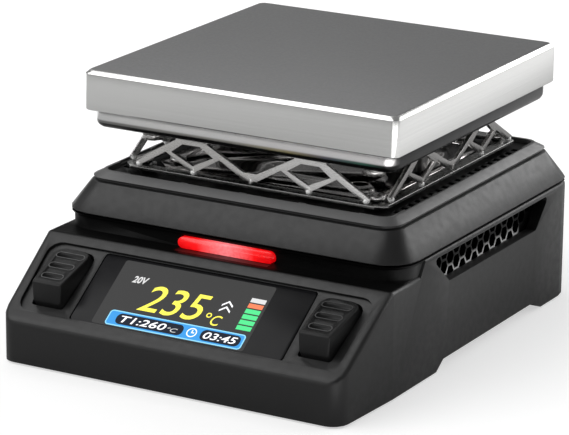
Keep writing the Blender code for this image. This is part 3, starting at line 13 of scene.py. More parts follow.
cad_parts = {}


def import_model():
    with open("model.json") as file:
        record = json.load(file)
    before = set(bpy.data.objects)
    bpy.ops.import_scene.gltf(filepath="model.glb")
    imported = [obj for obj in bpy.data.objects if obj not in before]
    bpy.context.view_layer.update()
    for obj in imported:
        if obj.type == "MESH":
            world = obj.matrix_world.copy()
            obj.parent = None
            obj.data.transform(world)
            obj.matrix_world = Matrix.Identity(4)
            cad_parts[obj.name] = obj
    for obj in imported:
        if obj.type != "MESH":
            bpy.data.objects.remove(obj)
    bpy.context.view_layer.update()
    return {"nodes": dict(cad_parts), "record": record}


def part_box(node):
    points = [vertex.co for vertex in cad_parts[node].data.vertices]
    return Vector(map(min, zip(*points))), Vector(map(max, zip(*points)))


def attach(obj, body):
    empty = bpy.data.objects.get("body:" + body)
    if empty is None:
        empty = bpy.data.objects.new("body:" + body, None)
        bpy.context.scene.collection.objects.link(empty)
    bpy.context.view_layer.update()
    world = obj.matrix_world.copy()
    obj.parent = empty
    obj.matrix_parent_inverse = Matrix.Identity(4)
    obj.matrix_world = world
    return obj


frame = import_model()

MM = 0.001

# Camera, fitted to the plate's and the base's straight edges in the photograph
CAMERA_AZIMUTH = 29.47
CAMERA_ELEVATION = 16.87
CAMERA_ROLL = 0.56
CAMERA_PLACE = (221.43, -394.99, 153.31)
FOCAL_PIXELS = 3299.17
IMAGE_WIDTH = 569
SENSOR_WIDTH = 36.0
CLIP_START = 10.0

# Control panel, as in the part's source
PANEL_ANGLE = radians(34.33)
GLASS_THICK = 1.0
GLASS_MIDDLE_S = 8.35

# Keys' sloping tops, as in the part's source: front edge, rise, tilt and grooves
PANEL_FRONT_Y = -35.7
PANEL_FRONT_Z = 6.45
KEY_MIDDLE = 21.3
KEY_FRONT_S = 3.87
KEY_RISE = 2.92
KEY_TOP_TILT = radians(19.4)
GROOVE_FIRST = 1.75
GROOVE_PITCH = 2.451
GROOVE_COUNT = 3
GROOVE_SHORT = 3.3
GROOVE_GROWTH = 0.55
GROOVE_WIDTH = 1.05
GROOVE_END_SHARE = 0.48
GROOVE_RIM_WIDTH = 0.13
GROOVE_RIM_RISE = 0.03

# Edges: weld distance, angle of a sharp corner, steps of a fine edge, and its width on each node
WELD_DISTANCE = 0.002
SHARP_ANGLE = radians(32.0)
EDGE_STEPS = 2
EDGE_WIDTHS = {"base_housing": 0.18, "top_cover": 0.18, "heating_plate": 0.06, "truss_frame": 0.05,
               "frame_ring": 0.05, "deck_grille": 0.05, "heater_pan": 0.05, "display_window": 0.06,
               "side_grille_left": 0.11, "side_grille_right": 0.11}

# Balls where the lattice meets its ring: size, shares of the half side from its middle, and inset
BALL_RADIUS = 0.48
BALL_STEPS = 8
BALL_SPOTS = (0.441, 0.867)
BALL_INSET = 0.3


# Shapes

def link(obj):
    """Put an object into the scene."""
    bpy.context.scene.collection.objects.link(obj)
    return obj


def solid(name, mesh, material):
    """Object from a bmesh, with its material."""
    data = bpy.data.meshes.new(name)
    mesh.to_mesh(data)
    mesh.free()
    data.materials.append(material)
    return link(bpy.data.objects.new(name, data))


def ring_mesh(rings, closed=False):
    """Closed mesh over rings of points in metres."""
    mesh = bmesh.new()
    loops = [[mesh.verts.new(point) for point in ring] for ring in rings]
    pairs = list(zip(loops, loops[1:]))
    if closed:
        pairs.append((loops[-1], loops[0]))
    else:
        mesh.faces.new(loops[0])
        mesh.faces.new(loops[-1])
    for lower, upper in pairs:
        for index in range(len(lower)):
            nearby = (index + 1) % len(lower)
            mesh.faces.new((lower[index], lower[nearby], upper[nearby], upper[index]))
    bmesh.ops.recalc_face_normals(mesh, faces=mesh.faces[:])
    return mesh


def rounded(corners, radius, steps=6):
    """Polygon whose corners are arcs."""
    points = []
    for index, corner in enumerate(corners):
        here = Vector(corner)
        before = (Vector(corners[index - 1]) - here).normalized()
        after = (Vector(corners[(index + 1) % len(corners)]) - here).normalized()
        half = before.angle(after) / 2
        centre = here + (before + after).normalized() * radius / sin(half)
        first = here + before * radius / tan(half) - centre
        way = 1 if before.x * after.y - before.y * after.x < 0 else -1
        for step in range(steps + 1):
            turn = Matrix.Rotation(way * (pi - 2 * half) * step / steps, 2)
            points.append(tuple(centre + turn @ first))
    return points


def rectangle(x0, y0, x1, y1):
    """Corners from the lower left one on."""
    return [(x0, y0), (x1, y0), (x1, y1), (x0, y1)]


def circle(x, y, radius, sides=24):
    """Polygon around a middle."""
    turns = [step * 2 * pi / sides for step in range(sides)]
    return [(x + radius * cos(turn), y + radius * sin(turn)) for turn in turns]


def metres(span, base=0.0):
    """Two places given in millimetres from a base, as places in the scene."""
    return [base + place * MM for place in span]


# Materials

# Stretches of a noise, its useful range, and the two ways that a ramp goes
EVEN = (1.0, 1.0, 1.0)
LINES = (1.0, 1.0, 12.0)
NOISE_SPAN = (0.35, 0.65)
RISING = (0.0, 1.0)
FALLING = (1.0, 0.0)

# Usual depth of a moulding's grain
GRAIN_DEPTH = 0.02

HOUSING_COLOUR = (0.009, 0.009, 0.0092)
HOUSING_ROUGHNESS = 0.42
HOUSING_INDEX = 1.45

# Painted shade on the band under the upper housing: where it fades in height and depth, its darker
# colour, and the specular level outside it and in it, lowered there as painted shade too
BAND_HEIGHTS = (15.45, 15.6)
BAND_REAR = (-18.6, -15.0)
BAND_SHADE_COLOUR = (0.003, 0.003, 0.003)
BAND_SHADE_SPECULAR = (0.5, 0.06)

# Painted highlight on the upper housing's rim: its span from the top down, and its colour
COVER_RIM_SPAN = (-0.95, -0.8)
COVER_RIM_HIGHLIGHT = (0.1, 0.1, 0.1005)

# Side grilles: plain colour and the colour of a painted highlight on the lower row's outward faces, and
# where the painted highlight fades: shares of the height, places in depth, and how far the face looks
# sideways
GRILLE_COLOUR = (0.002, 0.002, 0.002)
GRILLE_HIGHLIGHT_COLOUR = (1.0, 1.0, 0.99)
HIGHLIGHT_SHARES = (0.28, 0.5)
HIGHLIGHT_DEPTHS = (19.6, 20.4)
HIGHLIGHT_NORMALS = (0.3, 0.6)

# Plate: colours of its top and its sides, stretch of its lines, how far its top looks up, roughness
PLATE_TOP_COLOUR = (0.235, 0.235, 0.237)
PLATE_COLOUR = (0.7, 0.7, 0.69)
PLATE_SIDE_COLOURS = ((0.72, 0.72, 0.71), (0.77, 0.77, 0.76))
PLATE_LINES = (0.05, 0.05, 12.0)
PLATE_TOP_NORMALS = (0.9, 0.95)
PLATE_TOP_ROUGHNESS = (0.46, 0.54)
PLATE_SIDE_ROUGHNESS = (0.22, 0.27)

# Pan: plain colour, painted shade on its underside, heights over it where the tinted strip and the wall
# start and are full, and the strip's and the wall's colours from the left end to the right. The strip
# holds heat tint that ends in painted shade at the right; the wall holds painted reflections, lighter
# towards the right, with a painted highlight at its right corner and a dark right side
PAN_COLOUR = (0.34, 0.34, 0.34)
PAN_UNDERSIDE_SHADE = (0.03, 0.03, 0.03)
PAN_STRIP_SPAN = (0.75, 0.9)
PAN_WALL_SPAN = (1.1, 1.35)
PAN_STRIP_TINT_AND_SHADE = ((0.0, (0.2, 0.2, 0.2)), (0.5, (0.36, 0.35, 0.32)), (0.66, (0.38, 0.33, 0.2)),
             (0.78, (0.15, 0.14, 0.17)), (0.9, (0.06, 0.16, 0.12)), (0.97, (0.03, 0.03, 0.03)))
PAN_WALL_REFLECTIONS = ((0.0, (0.66, 0.66, 0.66)), (0.2, (0.72, 0.72, 0.71)), (0.6, (0.76, 0.75, 0.75)),
            (0.985, (0.84, 0.82, 0.82)), (0.998, (0.035, 0.035, 0.036)))

# Truss: its colours from the left end to the right, lighter at both ends as painted highlights, and
# painted shade on the right side's outer face: its colour, how far a face looks to the right, and shares
# of the width
TRUSS_COLOUR = (0.6, 0.59, 0.575)
TRUSS_HIGHLIGHT_COLOUR = (0.8, 0.79, 0.78)
TRUSS_END_HIGHLIGHTS = ((0.0, TRUSS_HIGHLIGHT_COLOUR), (0.04, TRUSS_HIGHLIGHT_COLOUR), (0.08, TRUSS_COLOUR),
              (0.4, TRUSS_COLOUR), (0.7, TRUSS_HIGHLIGHT_COLOUR))
TRUSS_RIGHT_SHADE = (0.22, 0.215, 0.21)
TRUSS_SHADE_NORMALS = (0.4, 0.7)
TRUSS_SHADE_SHARES = (0.5, 0.6)

# Lead tubes: painted reflection streaks between two colours
TUBE_REFLECTION_COLOURS = ((0.2, 0.195, 0.19), (0.9, 0.89, 0.88))
TUBE_REFLECTION_STREAKS = (1.0, 1.0, 0.02)
TUBE_SPAN = (0.4, 0.6)

# Light bar: lit colours from its middle to its ends, and levels of its speckled light
LENS_LIGHT = ((0.0, (1.0, 0.24, 0.26)), (0.6, (0.9, 0.006, 0.008)), (1.0, (0.55, 0.0, 0.002)))
LENS_LEVELS = (0.8, 1.15)


class Look:
    """A Principled material with helpers for procedural detail."""

    def __init__(self, name, colour, roughness, metallic=0.0):
        self.material = bpy.data.materials.new(name)
        self.material.use_nodes = True
        self.nodes = self.material.node_tree.nodes
        self.links = self.material.node_tree.links
        self.shader = self.nodes["Principled BSDF"]
        self.colour = colour
        self.roughness = roughness
        self.set("Base Color", colour).set("Roughness", roughness).set("Metallic", metallic)
        self.place = self.nodes.new("ShaderNodeTexCoord").outputs["Object"]

    def feed(self, socket, value):
        """Give a socket another node's output, a colour or a number."""
        if isinstance(value, bpy.types.NodeSocket):
            self.links.new(value, socket)
        elif isinstance(value, tuple):
            socket.default_value = (*value, 1.0)
        else:
            socket.default_value = value

    def set(self, socket, value):
        self.feed(self.shader.inputs[socket], value)
        return self

    def axis(self, source, axis):
        """One of the three numbers of a place or a normal."""
        split = self.nodes.new("ShaderNodeSeparateXYZ")
        self.links.new(source, split.inputs["Vector"])
        return split.outputs[axis]

    def normal(self, kind="True Normal"):
        return self.nodes.new("ShaderNodeNewGeometry").outputs[kind]

    def math(self, operation, *values):
        node = self.nodes.new("ShaderNodeMath")
        node.operation = operation
        for socket, value in zip(node.inputs, values):
            self.feed(socket, value)
        return node.outputs["Value"]

    def mix(self, factor, first, second, kind="RGBA"):
        """Colour or number that goes from the first to the second as the factor goes from 0 to 1."""
        node = self.nodes.new("ShaderNodeMix")
        node.data_type = kind
        for socket, value in (("Factor", factor), ("A", first), ("B", second)):
            self.feed(node.inputs[socket], value)
        return node.outputs["Result"]

    def ramp(self, source, span=NOISE_SPAN, levels=RISING):
        """Number that goes from one level to the other while the source runs over a span."""
        node = self.nodes.new("ShaderNodeMapRange")
        ends = (("From Min", span[0]), ("From Max", span[1]), ("To Min", levels[0]), ("To Max", levels[1]))
        for socket, value in (("Value", source), *ends):
            self.feed(node.inputs[socket], value)
        return node.outputs["Result"]

    def colours(self, source, stops):
        """Colour that runs through the stops as the source goes from 0 to 1."""
        node = self.nodes.new("ShaderNodeValToRGB")
        elements = node.color_ramp.elements
        elements.remove(elements[1])
        first_place, first_colour = stops[0]
        elements[0].position = first_place
        elements[0].color = (*first_colour, 1.0)
        for place, colour in stops[1:]:
            elements.new(place).color = (*colour, 1.0)
        self.links.new(source, node.inputs["Fac"])
        return node.outputs["Color"]

    def across(self, node):
        """Number that goes from 0 to 1 over a node's width."""
        low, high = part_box(node)
        return self.ramp(self.axis(self.place, "X"), (low.x, high.x))

    def noise(self, scale, stretch=EVEN, detail=3.0):
        mapping = self.nodes.new("ShaderNodeMapping")
        mapping.inputs["Scale"].default_value = stretch
        self.links.new(self.place, mapping.inputs["Vector"])
        noise = self.nodes.new("ShaderNodeTexNoise")
        noise.inputs["Scale"].default_value = scale
        noise.inputs["Detail"].default_value = detail
        self.links.new(mapping.outputs["Vector"], noise.inputs["Vector"])
        return noise.outputs["Fac"]

    def vary_colour(self, scale, spread):
        darker = tuple(value * (1 - spread) for value in self.colour)
        lighter = tuple(value * (1 + spread) for value in self.colour)
        return self.set("Base Color", self.mix(self.ramp(self.noise(scale)), darker, lighter))

    def vary_roughness(self, scale, spread, stretch=EVEN):
        levels = (self.roughness - spread, self.roughness + spread)
        return self.set("Roughness", self.ramp(self.noise(scale, stretch), levels=levels))

    def bump(self, scale, depth, stretch=EVEN, strength=0.5):
        node = self.nodes.new("ShaderNodeBump")
        node.inputs["Strength"].default_value = strength
        node.inputs["Distance"].default_value = depth * MM
        self.links.new(self.noise(scale, stretch), node.inputs["Height"])
        return self.set("Normal", node.outputs["Normal"])

    def grained(self, depth=GRAIN_DEPTH):
        """Fine spark-eroded grain and slightly uneven gloss of a moulding."""
        return self.vary_roughness(scale=900.0, spread=0.04).bump(scale=9000.0, depth=depth, strength=0.35)

    def rolled(self):
        """Fine lines and slightly uneven gloss of rolled sheet."""
        self.vary_roughness(scale=1500.0, spread=0.06, stretch=LINES)
        return self.bump(scale=5000.0, depth=0.004, stretch=LINES, strength=0.3)


def moulded(name, colour, roughness, grain=GRAIN_DEPTH, index=1.5):
    """Moulded plastic, rubber or ceramic."""
    look = Look(name, colour, roughness).set("IOR", index)
    return look.vary_colour(scale=300.0, spread=0.12).grained(grain).material


def sheet_metal(name, colour, roughness):
    """Rolled sheet with a little tarnish."""
    look = Look(name, colour, roughness, metallic=1.0)
    return look.vary_colour(scale=160.0, spread=0.1).rolled().material


def shield_look():
    """Polished sheet with hardly any tarnish."""
    look = Look("shield_steel", (0.62, 0.6, 0.59), roughness=0.12, metallic=1.0)
    return look.vary_colour(scale=120.0, spread=0.06).vary_roughness(scale=500.0, spread=0.02).material


def tube_look():
    """Satin tube with upright painted reflection streaks."""
    look = Look("tube_steel", TUBE_REFLECTION_COLOURS[1], roughness=0.32, metallic=0.55)
    # Painted reflections: upright light and dark streaks
    streaks = look.ramp(look.noise(scale=1100.0, stretch=TUBE_REFLECTION_STREAKS, detail=1.5), TUBE_SPAN)
    return look.set("Base Color", look.mix(streaks, *TUBE_REFLECTION_COLOURS)).material


def pan_look():
    """Steel pan: a wall with painted reflections, a heat-tinted strip under it that ends in painted shade,
    and painted shade on its underside.
    """
    look = Look("pan_steel", PAN_COLOUR, roughness=0.24, metallic=1.0)
    across = look.across("heater_pan")
    height = look.axis(look.place, "Z")
    # Painted shade underneath, then the strip's heat tint and the wall's painted reflections
    colour = PAN_UNDERSIDE_SHADE
    for span, stops in ((PAN_STRIP_SPAN, PAN_STRIP_TINT_AND_SHADE), (PAN_WALL_SPAN, PAN_WALL_REFLECTIONS)):
        above = look.ramp(height, metres(span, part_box("heater_pan")[0].z))
        colour = look.mix(above, colour, look.colours(across, stops))
    return look.set("Base Color", colour).vary_roughness(scale=500.0, spread=0.03).material


def truss_look():
    """Sheet steel with painted highlights at both ends and painted shade on the right side's outer face.
    """
    look = Look("truss_steel", TRUSS_COLOUR, roughness=0.3, metallic=1.0)
    across = look.across("truss_frame")
    # Painted shade on the right side's outer face; painted highlights at both ends
    faces_right = look.ramp(look.axis(look.normal(), "X"), TRUSS_SHADE_NORMALS)
    outer = look.math("MULTIPLY", faces_right, look.ramp(across, TRUSS_SHADE_SHARES))
    look.set("Base Color", look.mix(outer, look.colours(across, TRUSS_END_HIGHLIGHTS), TRUSS_RIGHT_SHADE))
    return look.rolled().material


def grille_look():
    """Black honeycomb with a painted highlight on the outward faces of its lower row."""
    look = Look("grille_black", GRILLE_COLOUR, roughness=0.4).set("IOR", 1.2)
    low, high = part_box("side_grille_right")
    rows = [low.z + (high.z - low.z) * share for share in HIGHLIGHT_SHARES]
    # Painted highlight: outward faces of the lower row, towards the front, turn near white
    outwards = look.ramp(look.math("ABSOLUTE", look.axis(look.normal(), "X")), HIGHLIGHT_NORMALS)
    lower = look.ramp(look.axis(look.place, "Z"), rows, FALLING)
    forward = look.ramp(look.axis(look.place, "Y"), metres(HIGHLIGHT_DEPTHS), FALLING)
    painted_highlight = look.math("MULTIPLY", look.math("MULTIPLY", outwards, lower), forward)
    return look.set("Base Color", look.mix(painted_highlight, GRILLE_COLOUR, GRILLE_HIGHLIGHT_COLOUR)).material


def base_look():
    """Housing plastic, with painted shade on the front band under the upper housing."""
    look = Look("black_base", HOUSING_COLOUR, HOUSING_ROUGHNESS).set("IOR", HOUSING_INDEX)
    # Painted shade: darker colour and lower specular level on the front band under the upper housing
    raised = look.ramp(look.axis(look.place, "Z"), metres(BAND_HEIGHTS))
    front = look.ramp(look.axis(look.place, "Y"), metres(BAND_REAR), FALLING)
    band = look.math("MULTIPLY", raised, front)
    look.set("Specular IOR Level", look.ramp(band, RISING, BAND_SHADE_SPECULAR))
    return look.set("Base Color", look.mix(band, HOUSING_COLOUR, BAND_SHADE_COLOUR)).grained().material


def cover_look():
    """Upper housing's plastic, with a painted highlight on the rim above its groove."""
    look = Look("black_cover", HOUSING_COLOUR, HOUSING_ROUGHNESS).set("IOR", HOUSING_INDEX)
    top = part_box("top_cover")[1].z
    # Painted highlight on the rim above the groove
    rim = look.ramp(look.axis(look.place, "Z"), metres(COVER_RIM_SPAN, top))
    return look.set("Base Color", look.mix(rim, HOUSING_COLOUR, COVER_RIM_HIGHLIGHT)).grained().material


def plate_look():
    """Ground aluminium: satin grey top, brighter sides with fine lines along them."""
    look = Look("plate_metal", PLATE_COLOUR, roughness=0.24, metallic=1.0)
    top = look.ramp(look.axis(look.normal("Normal"), "Z"), PLATE_TOP_NORMALS)
    lines = look.noise(scale=500.0, stretch=PLATE_LINES)
    sides = look.mix(look.ramp(lines), *PLATE_SIDE_COLOURS)
    look.set("Base Color", look.mix(top, sides, PLATE_TOP_COLOUR))
    side_roughness = look.ramp(lines, levels=PLATE_SIDE_ROUGHNESS)
    top_roughness = look.ramp(look.noise(scale=2400.0), levels=PLATE_TOP_ROUGHNESS)
    look.set("Roughness", look.mix(top, side_roughness, top_roughness, "FLOAT"))
    return look.bump(scale=900.0, depth=0.0008, stretch=PLATE_LINES, strength=0.2).material


def lens_look():
    """Red light guide: pale and bright in the middle, deep red towards its ends."""
    look = Look("red_lens", (0.55, 0.01, 0.01), roughness=0.3)
    low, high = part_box("light_bar_lens")
    from_middle = look.math("ABSOLUTE", look.axis(look.place, "X"))
    lit = look.colours(look.ramp(from_middle, (0.0, (high.x - low.x) / 2)), LENS_LIGHT)
    speckle = look.ramp(look.noise(scale=2600.0), levels=LENS_LEVELS)
    return look.set("Emission Color", lit).set("Emission Strength", speckle).material


def glass_look():
    """Dark glass of the display, slightly hazy."""
    look = Look("display_glass", (0.006, 0.006, 0.007), roughness=0.33).set("IOR", 1.26)
    return look.vary_roughness(scale=400.0, spread=0.03).material


def board_look():
    """Green circuit board."""
    look = Look("circuit_board", (0.01, 0.08, 0.04), roughness=0.35)
    return look.vary_colour(scale=700.0, spread=0.25).bump(scale=1500.0, depth=0.02).material


def glowing(name, colour, strength, base):
    """Ink of a lit graphic."""
    look = Look(name, base, roughness=0.45).set("IOR", 1.2)
    return look.set("Emission Color", colour).set("Emission Strength", strength).material


# Look of each material slot: a moulding or a sheet has its name, colour and roughness
LOOKS = {
    "housing": moulded("black_housing", HOUSING_COLOUR, HOUSING_ROUGHNESS, index=HOUSING_INDEX),
    "key_plastic": moulded("key_black", (0.007, 0.007, 0.0072), 0.52, index=1.36),
    "deck": moulded("deck_black", (0.003, 0.003, 0.003), 0.45, index=1.22),
    "plate": plate_look(),
    "pan": pan_look(),
    "shield": shield_look(),
    "tube": tube_look(),
    "screw": sheet_metal("screw_steel", (0.55, 0.54, 0.53), 0.28),
    "glass": glass_look(),
    "lens": lens_look(),
    "board": board_look(),
    "component": moulded("component_black", (0.02, 0.02, 0.02), 0.5),
    "connector": moulded("connector_nylon", (0.7, 0.68, 0.62), 0.5),
    "ceramic": moulded("heater_ceramic", (0.8, 0.78, 0.74), 0.6),
    "fibre": moulded("insulation_fibre", (0.7, 0.66, 0.55), 0.9, grain=0.1),
    "rubber": moulded("foot_rubber", (0.02, 0.02, 0.02), 0.8, grain=0.05),
    "lead": moulded("lead_sleeve", (0.75, 0.75, 0.72), 0.6),
    "ribbon": moulded("ribbon_film", (0.5, 0.25, 0.05), 0.4),
}

# Nodes whose look isn't their slot's
GRILLE = grille_look()
OWN_LOOKS = {
    "base_housing": base_look(),
    "top_cover": cover_look(),
    "truss_frame": truss_look(),
    "side_grille_left": GRILLE,
    "side_grille_right": GRILLE,
    "frame_ring": sheet_metal("ring_steel", (0.28, 0.28, 0.275), 0.3),
}

# Lighter colour of the keys' groove rims: painted highlight
KEY_RIM_HIGHLIGHT = moulded("key_rim_highlight", (0.035, 0.035, 0.0355), 0.35)
# Near-white colour of the lattice balls: painted highlight
BALL_HIGHLIGHT_WHITE = Look("ball_white_highlight", (1.0, 1.0, 0.99), roughness=0.12, metallic=0.1).material


def dress_nodes():
    """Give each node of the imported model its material, soft shading and fine edges."""
    slots = {entry["node"]: entry["material_slot"] for entry in frame["record"]["subparts"]}
    for name, node in frame["nodes"].items():
        node.data.materials.clear()
        node.data.materials.append(OWN_LOOKS.get(name) or LOOKS[slots[name]])
        weld = node.modifiers.new("weld", "WELD")
        weld.merge_threshold = WELD_DISTANCE * MM
        if name in EDGE_WIDTHS:
            bevel = node.modifiers.new("fine_edges", "BEVEL")
            bevel.width = EDGE_WIDTHS[name] * MM
            bevel.segments = EDGE_STEPS
            bevel.limit_method = "ANGLE"
            bevel.angle_limit = SHARP_ANGLE
            bevel.harden_normals = True
            bevel.use_clamp_overlap = True
        node.data.shade_smooth()
        node.data.set_sharp_from_angle(angle=SHARP_ANGLE)


# Balls of the lattice

def lattice_balls():
    """Small welded balls under the lattice's lower tips, on all four sides, near white as a painted
    highlight.
    """
    low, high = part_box("frame_ring")
    middle = (low + high) / 2
    half = (high.x - low.x) / 2
    reach = half - BALL_INSET * MM
    number = 0
    for side in range(4):
        turn = Matrix.Rotation(side * pi / 2, 3, "Z")
        for share in BALL_SPOTS:
            for way in (-1, 1):
                offset = turn @ Vector((way * share * half, -reach, 0.0))
                centre = Vector((middle.x + offset.x, middle.y + offset.y, high.z + BALL_RADIUS * MM))
                mesh = bmesh.new()
                bmesh.ops.create_uvsphere(mesh, u_segments=2 * BALL_STEPS, v_segments=BALL_STEPS,
                                          radius=BALL_RADIUS * MM)
                bmesh.ops.translate(mesh, verts=mesh.verts[:], vec=centre)
                for face in mesh.faces:
                    face.smooth = True
                number += 1
                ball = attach(solid(f"lattice_ball_{number}", mesh, BALL_HIGHLIGHT_WHITE), "root")


# Rims of the keys' grooves, lighter as a painted highlight

def on_key_top(x, u, n):
    """Point on a key's sloping top, u up from its front edge and n out of it."""
    front_y = PANEL_FRONT_Y + KEY_FRONT_S * cos(PANEL_ANGLE)
    front_z = PANEL_FRONT_Z + KEY_FRONT_S * sin(PANEL_ANGLE) + KEY_RISE
    y = front_y + u * cos(KEY_TOP_TILT) - n * sin(KEY_TOP_TILT)
    z = front_z + u * sin(KEY_TOP_TILT) + n * cos(KEY_TOP_TILT)
    return Vector((x, y, z)) * MM


def groove_outline(middle, index, grow):
    """A groove's outline on a key's top, grown by a rim's width."""
    u = GROOVE_FIRST + index * GROOVE_PITCH
    half = (GROOVE_SHORT + index * GROOVE_GROWTH) / 2 + grow
    across = GROOVE_WIDTH / 2 + grow
    corners = rectangle(middle - half, u - across, middle + half, u + across)
    return rounded(corners, 2 * across * GROOVE_END_SHARE)


def groove_rims():
    """Fine raised rim around each groove, riding on its key, lighter as a painted highlight."""
    rise = GROOVE_RIM_RISE
    for side, body in ((-1, "left_key"), (1, "right_key")):
        for index in range(GROOVE_COUNT):
            outer = groove_outline(side * KEY_MIDDLE, index, GROOVE_RIM_WIDTH)
            inner = groove_outline(side * KEY_MIDDLE, index, 0.0)
            order = ((outer, -rise), (outer, rise), (inner, rise), (inner, -rise))
            rings = [[on_key_top(x, u, n) for x, u in outline] for outline, n in order]
            rim = solid(f"{body}_rim_{index + 1}", ring_mesh(rings, closed=True), KEY_RIM_HIGHLIGHT)
            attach(rim, body)


# Display graphics, in layers that lie ever higher over the glass

INK_THICK = 0.012
LAYER_STEP = 0.02
FIELD_LAYER = 1
GRAPHIC_LAYER = 2
CAPSULE_LAYER = 3
WORD_LAYER = 4
FONT_STEPS = 4

# Inks: name, light, its level, and the colour that it has unlit
WHITE = glowing("ink_white", (0.9, 0.92, 0.95), 0.9, (0.6, 0.6, 0.6))
SILVER = glowing("ink_silver", (0.62, 0.62, 0.62), 0.85, (0.4, 0.4, 0.4))
YELLOW = glowing("ink_yellow", (0.95, 0.87, 0.1), 0.95, (0.5, 0.45, 0.05))
GREEN = glowing("ink_green", (0.08, 0.76, 0.28), 0.9, (0.05, 0.3, 0.1))
ORANGE = glowing("ink_orange", (0.85, 0.22, 0.1), 0.9, (0.4, 0.1, 0.05))
BLUE = glowing("ink_blue", (0.05, 0.36, 0.78), 0.85, (0.02, 0.1, 0.3))
SKY = glowing("ink_sky", (0.3, 0.68, 0.95), 0.9, (0.1, 0.3, 0.4))
NIGHT = glowing("ink_night", (0.008, 0.014, 0.03), 0.8, (0.005, 0.006, 0.01))
LIT = glowing("ink_lit", (0.056, 0.056, 0.056), 0.8, (0.008, 0.008, 0.008))

# Lit field and status bar: left, low, right and high edge
SCREEN = (-13.4, 2.55, 10.75, 13.9)
SCREEN_CORNER = 0.4
STATUS_BAR = (-11.4, 2.7, 10.2, 5.3)
STATUS_CORNER = 0.55
STATUS_LINE = 0.18
STATUS_SLANT = 0.2
CAPSULE_MARGIN = 0.38
CAPSULE_ROUND = 0.42
WORD_MARGIN = 0.34

# Readings: name, words, left, low, height, width, ink, slant and weight
READINGS = (
    ("reading_small", "20V", -10.8, 10.35, 1.2, 2.4, SILVER, 0.15, 0.03),
    ("reading_large", "235", -7.8, 5.95, 4.6, 10.1, YELLOW, 0.2, 0.002),
    ("reading_unit", "C", 3.85, 5.8, 1.75, 1.5, YELLOW, 0.2, 0.0),
)

# Capsules: name, left, right, and their words: name, words, left, width, share of the full height,
# ink and weight
CAPSULES = (
    ("status_left", -10.0, 0.7, (("status_set", "T1:260", -9.3, 7.3, 1.0, WHITE, 0.01),
                                 ("status_set_unit", "°C", -1.7, 1.6, 0.62, SILVER, 0.0))),
    ("status_right", 3.5, 9.7, (("status_time", "03:45", 4.0, 5.2, 1.0, WHITE, 0.01),)),
)

# Degree sign and clock: middle, radius and line, and how far the clock's hands reach
DEGREE_X = 3.2
DEGREE_S = 7.35
DEGREE_RADIUS = 0.42
DEGREE_LINE = 0.17
CLOCK_X = 2.1
CLOCK_RADIUS = 0.78
CLOCK_LINE = 0.16
HAND_UP = 0.45
HAND_RIGHT = 0.4

# Two arrowheads, one over the other
CHEVRON_COUNT = 2
CHEVRON_X = 5.05
CHEVRON_LOW = 8.3
CHEVRON_PITCH = 0.95
CHEVRON_HALF = 0.85
CHEVRON_RISE = 0.75
CHEVRON_LINE = 0.3

# Level bar: left edge, top, and its cells from the top down
LEVEL_X = 8.0
LEVEL_TOP = 11.5
LEVEL_PITCH = 0.96
LEVEL_HEIGHT = 0.74
LEVEL_WIDTH = 2.3
LEVELS = (SILVER, ORANGE, GREEN, GREEN, GREEN, GREEN)


def glass_frame():
    """Middle of the glass's outer face and the directions along it and out of it."""
    low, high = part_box("display_window")
    along = Vector((0.0, cos(PANEL_ANGLE), sin(PANEL_ANGLE)))
    out = Vector((0.0, -sin(PANEL_ANGLE), cos(PANEL_ANGLE)))
    return (low + high) / 2 + out * GLASS_THICK / 2 * MM, along, out


GLASS_MIDDLE, ALONG, OUT = glass_frame()


def on_glass(x, s, lift):
    """Point over the glass, s up along the panel and lifted out of it."""
    return GLASS_MIDDLE + (Vector((x, 0.0, 0.0)) + ALONG * (s - GLASS_MIDDLE_S) + OUT * lift) * MM


def ink(name, outline, layer, material):
    """Thin flat shape lying over the glass."""
    low = layer * LAYER_STEP
    rings = [[on_glass(x, s, lift) for x, s in outline] for lift in (low, low + INK_THICK)]
    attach(solid(name, ring_mesh(rings), material), "root")


def ink_ring(name, outer, inner, layer, material):
    """Flat border between two outlines of equally many points."""
    low = layer * LAYER_STEP
    high = low + INK_THICK
    order = ((outer, low), (outer, high), (inner, high), (inner, low))
    rings = [[on_glass(x, s, lift) for x, s in outline] for outline, lift in order]
    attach(solid(name, ring_mesh(rings, closed=True), material), "root")


def ink_words(name, words, x, s, height, width, layer, material, slant, weight):
    """Words over the glass with their lower left at x and s, fitted to a height and a width."""
    curve = bpy.data.curves.new(name, "FONT")
    curve.body = words
    curve.shear = slant
    curve.offset = weight
    curve.extrude = INK_THICK / 2
    curve.resolution_u = FONT_STEPS
    text = link(bpy.data.objects.new(name, curve))
    bpy.context.view_layer.update()
    graph = bpy.context.evaluated_depsgraph_get()
    data = bpy.data.meshes.new_from_object(text.evaluated_get(graph))
    bpy.data.objects.remove(text)
    low = Vector([min(v.co[axis] for v in data.vertices) for axis in range(3)])
    high = Vector([max(v.co[axis] for v in data.vertices) for axis in range(3)])
    spread = Vector((width / (high.x - low.x), height / (high.y - low.y)))
    for vertex in data.vertices:
        u = x + (vertex.co.x - low.x) * spread.x
        v = s + (vertex.co.y - low.y) * spread.y
        vertex.co = on_glass(u, v, layer * LAYER_STEP + INK_THICK / 2 + vertex.co.z)
    data.materials.clear()
    data.materials.append(material)
    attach(link(bpy.data.objects.new(name, data)), "root")


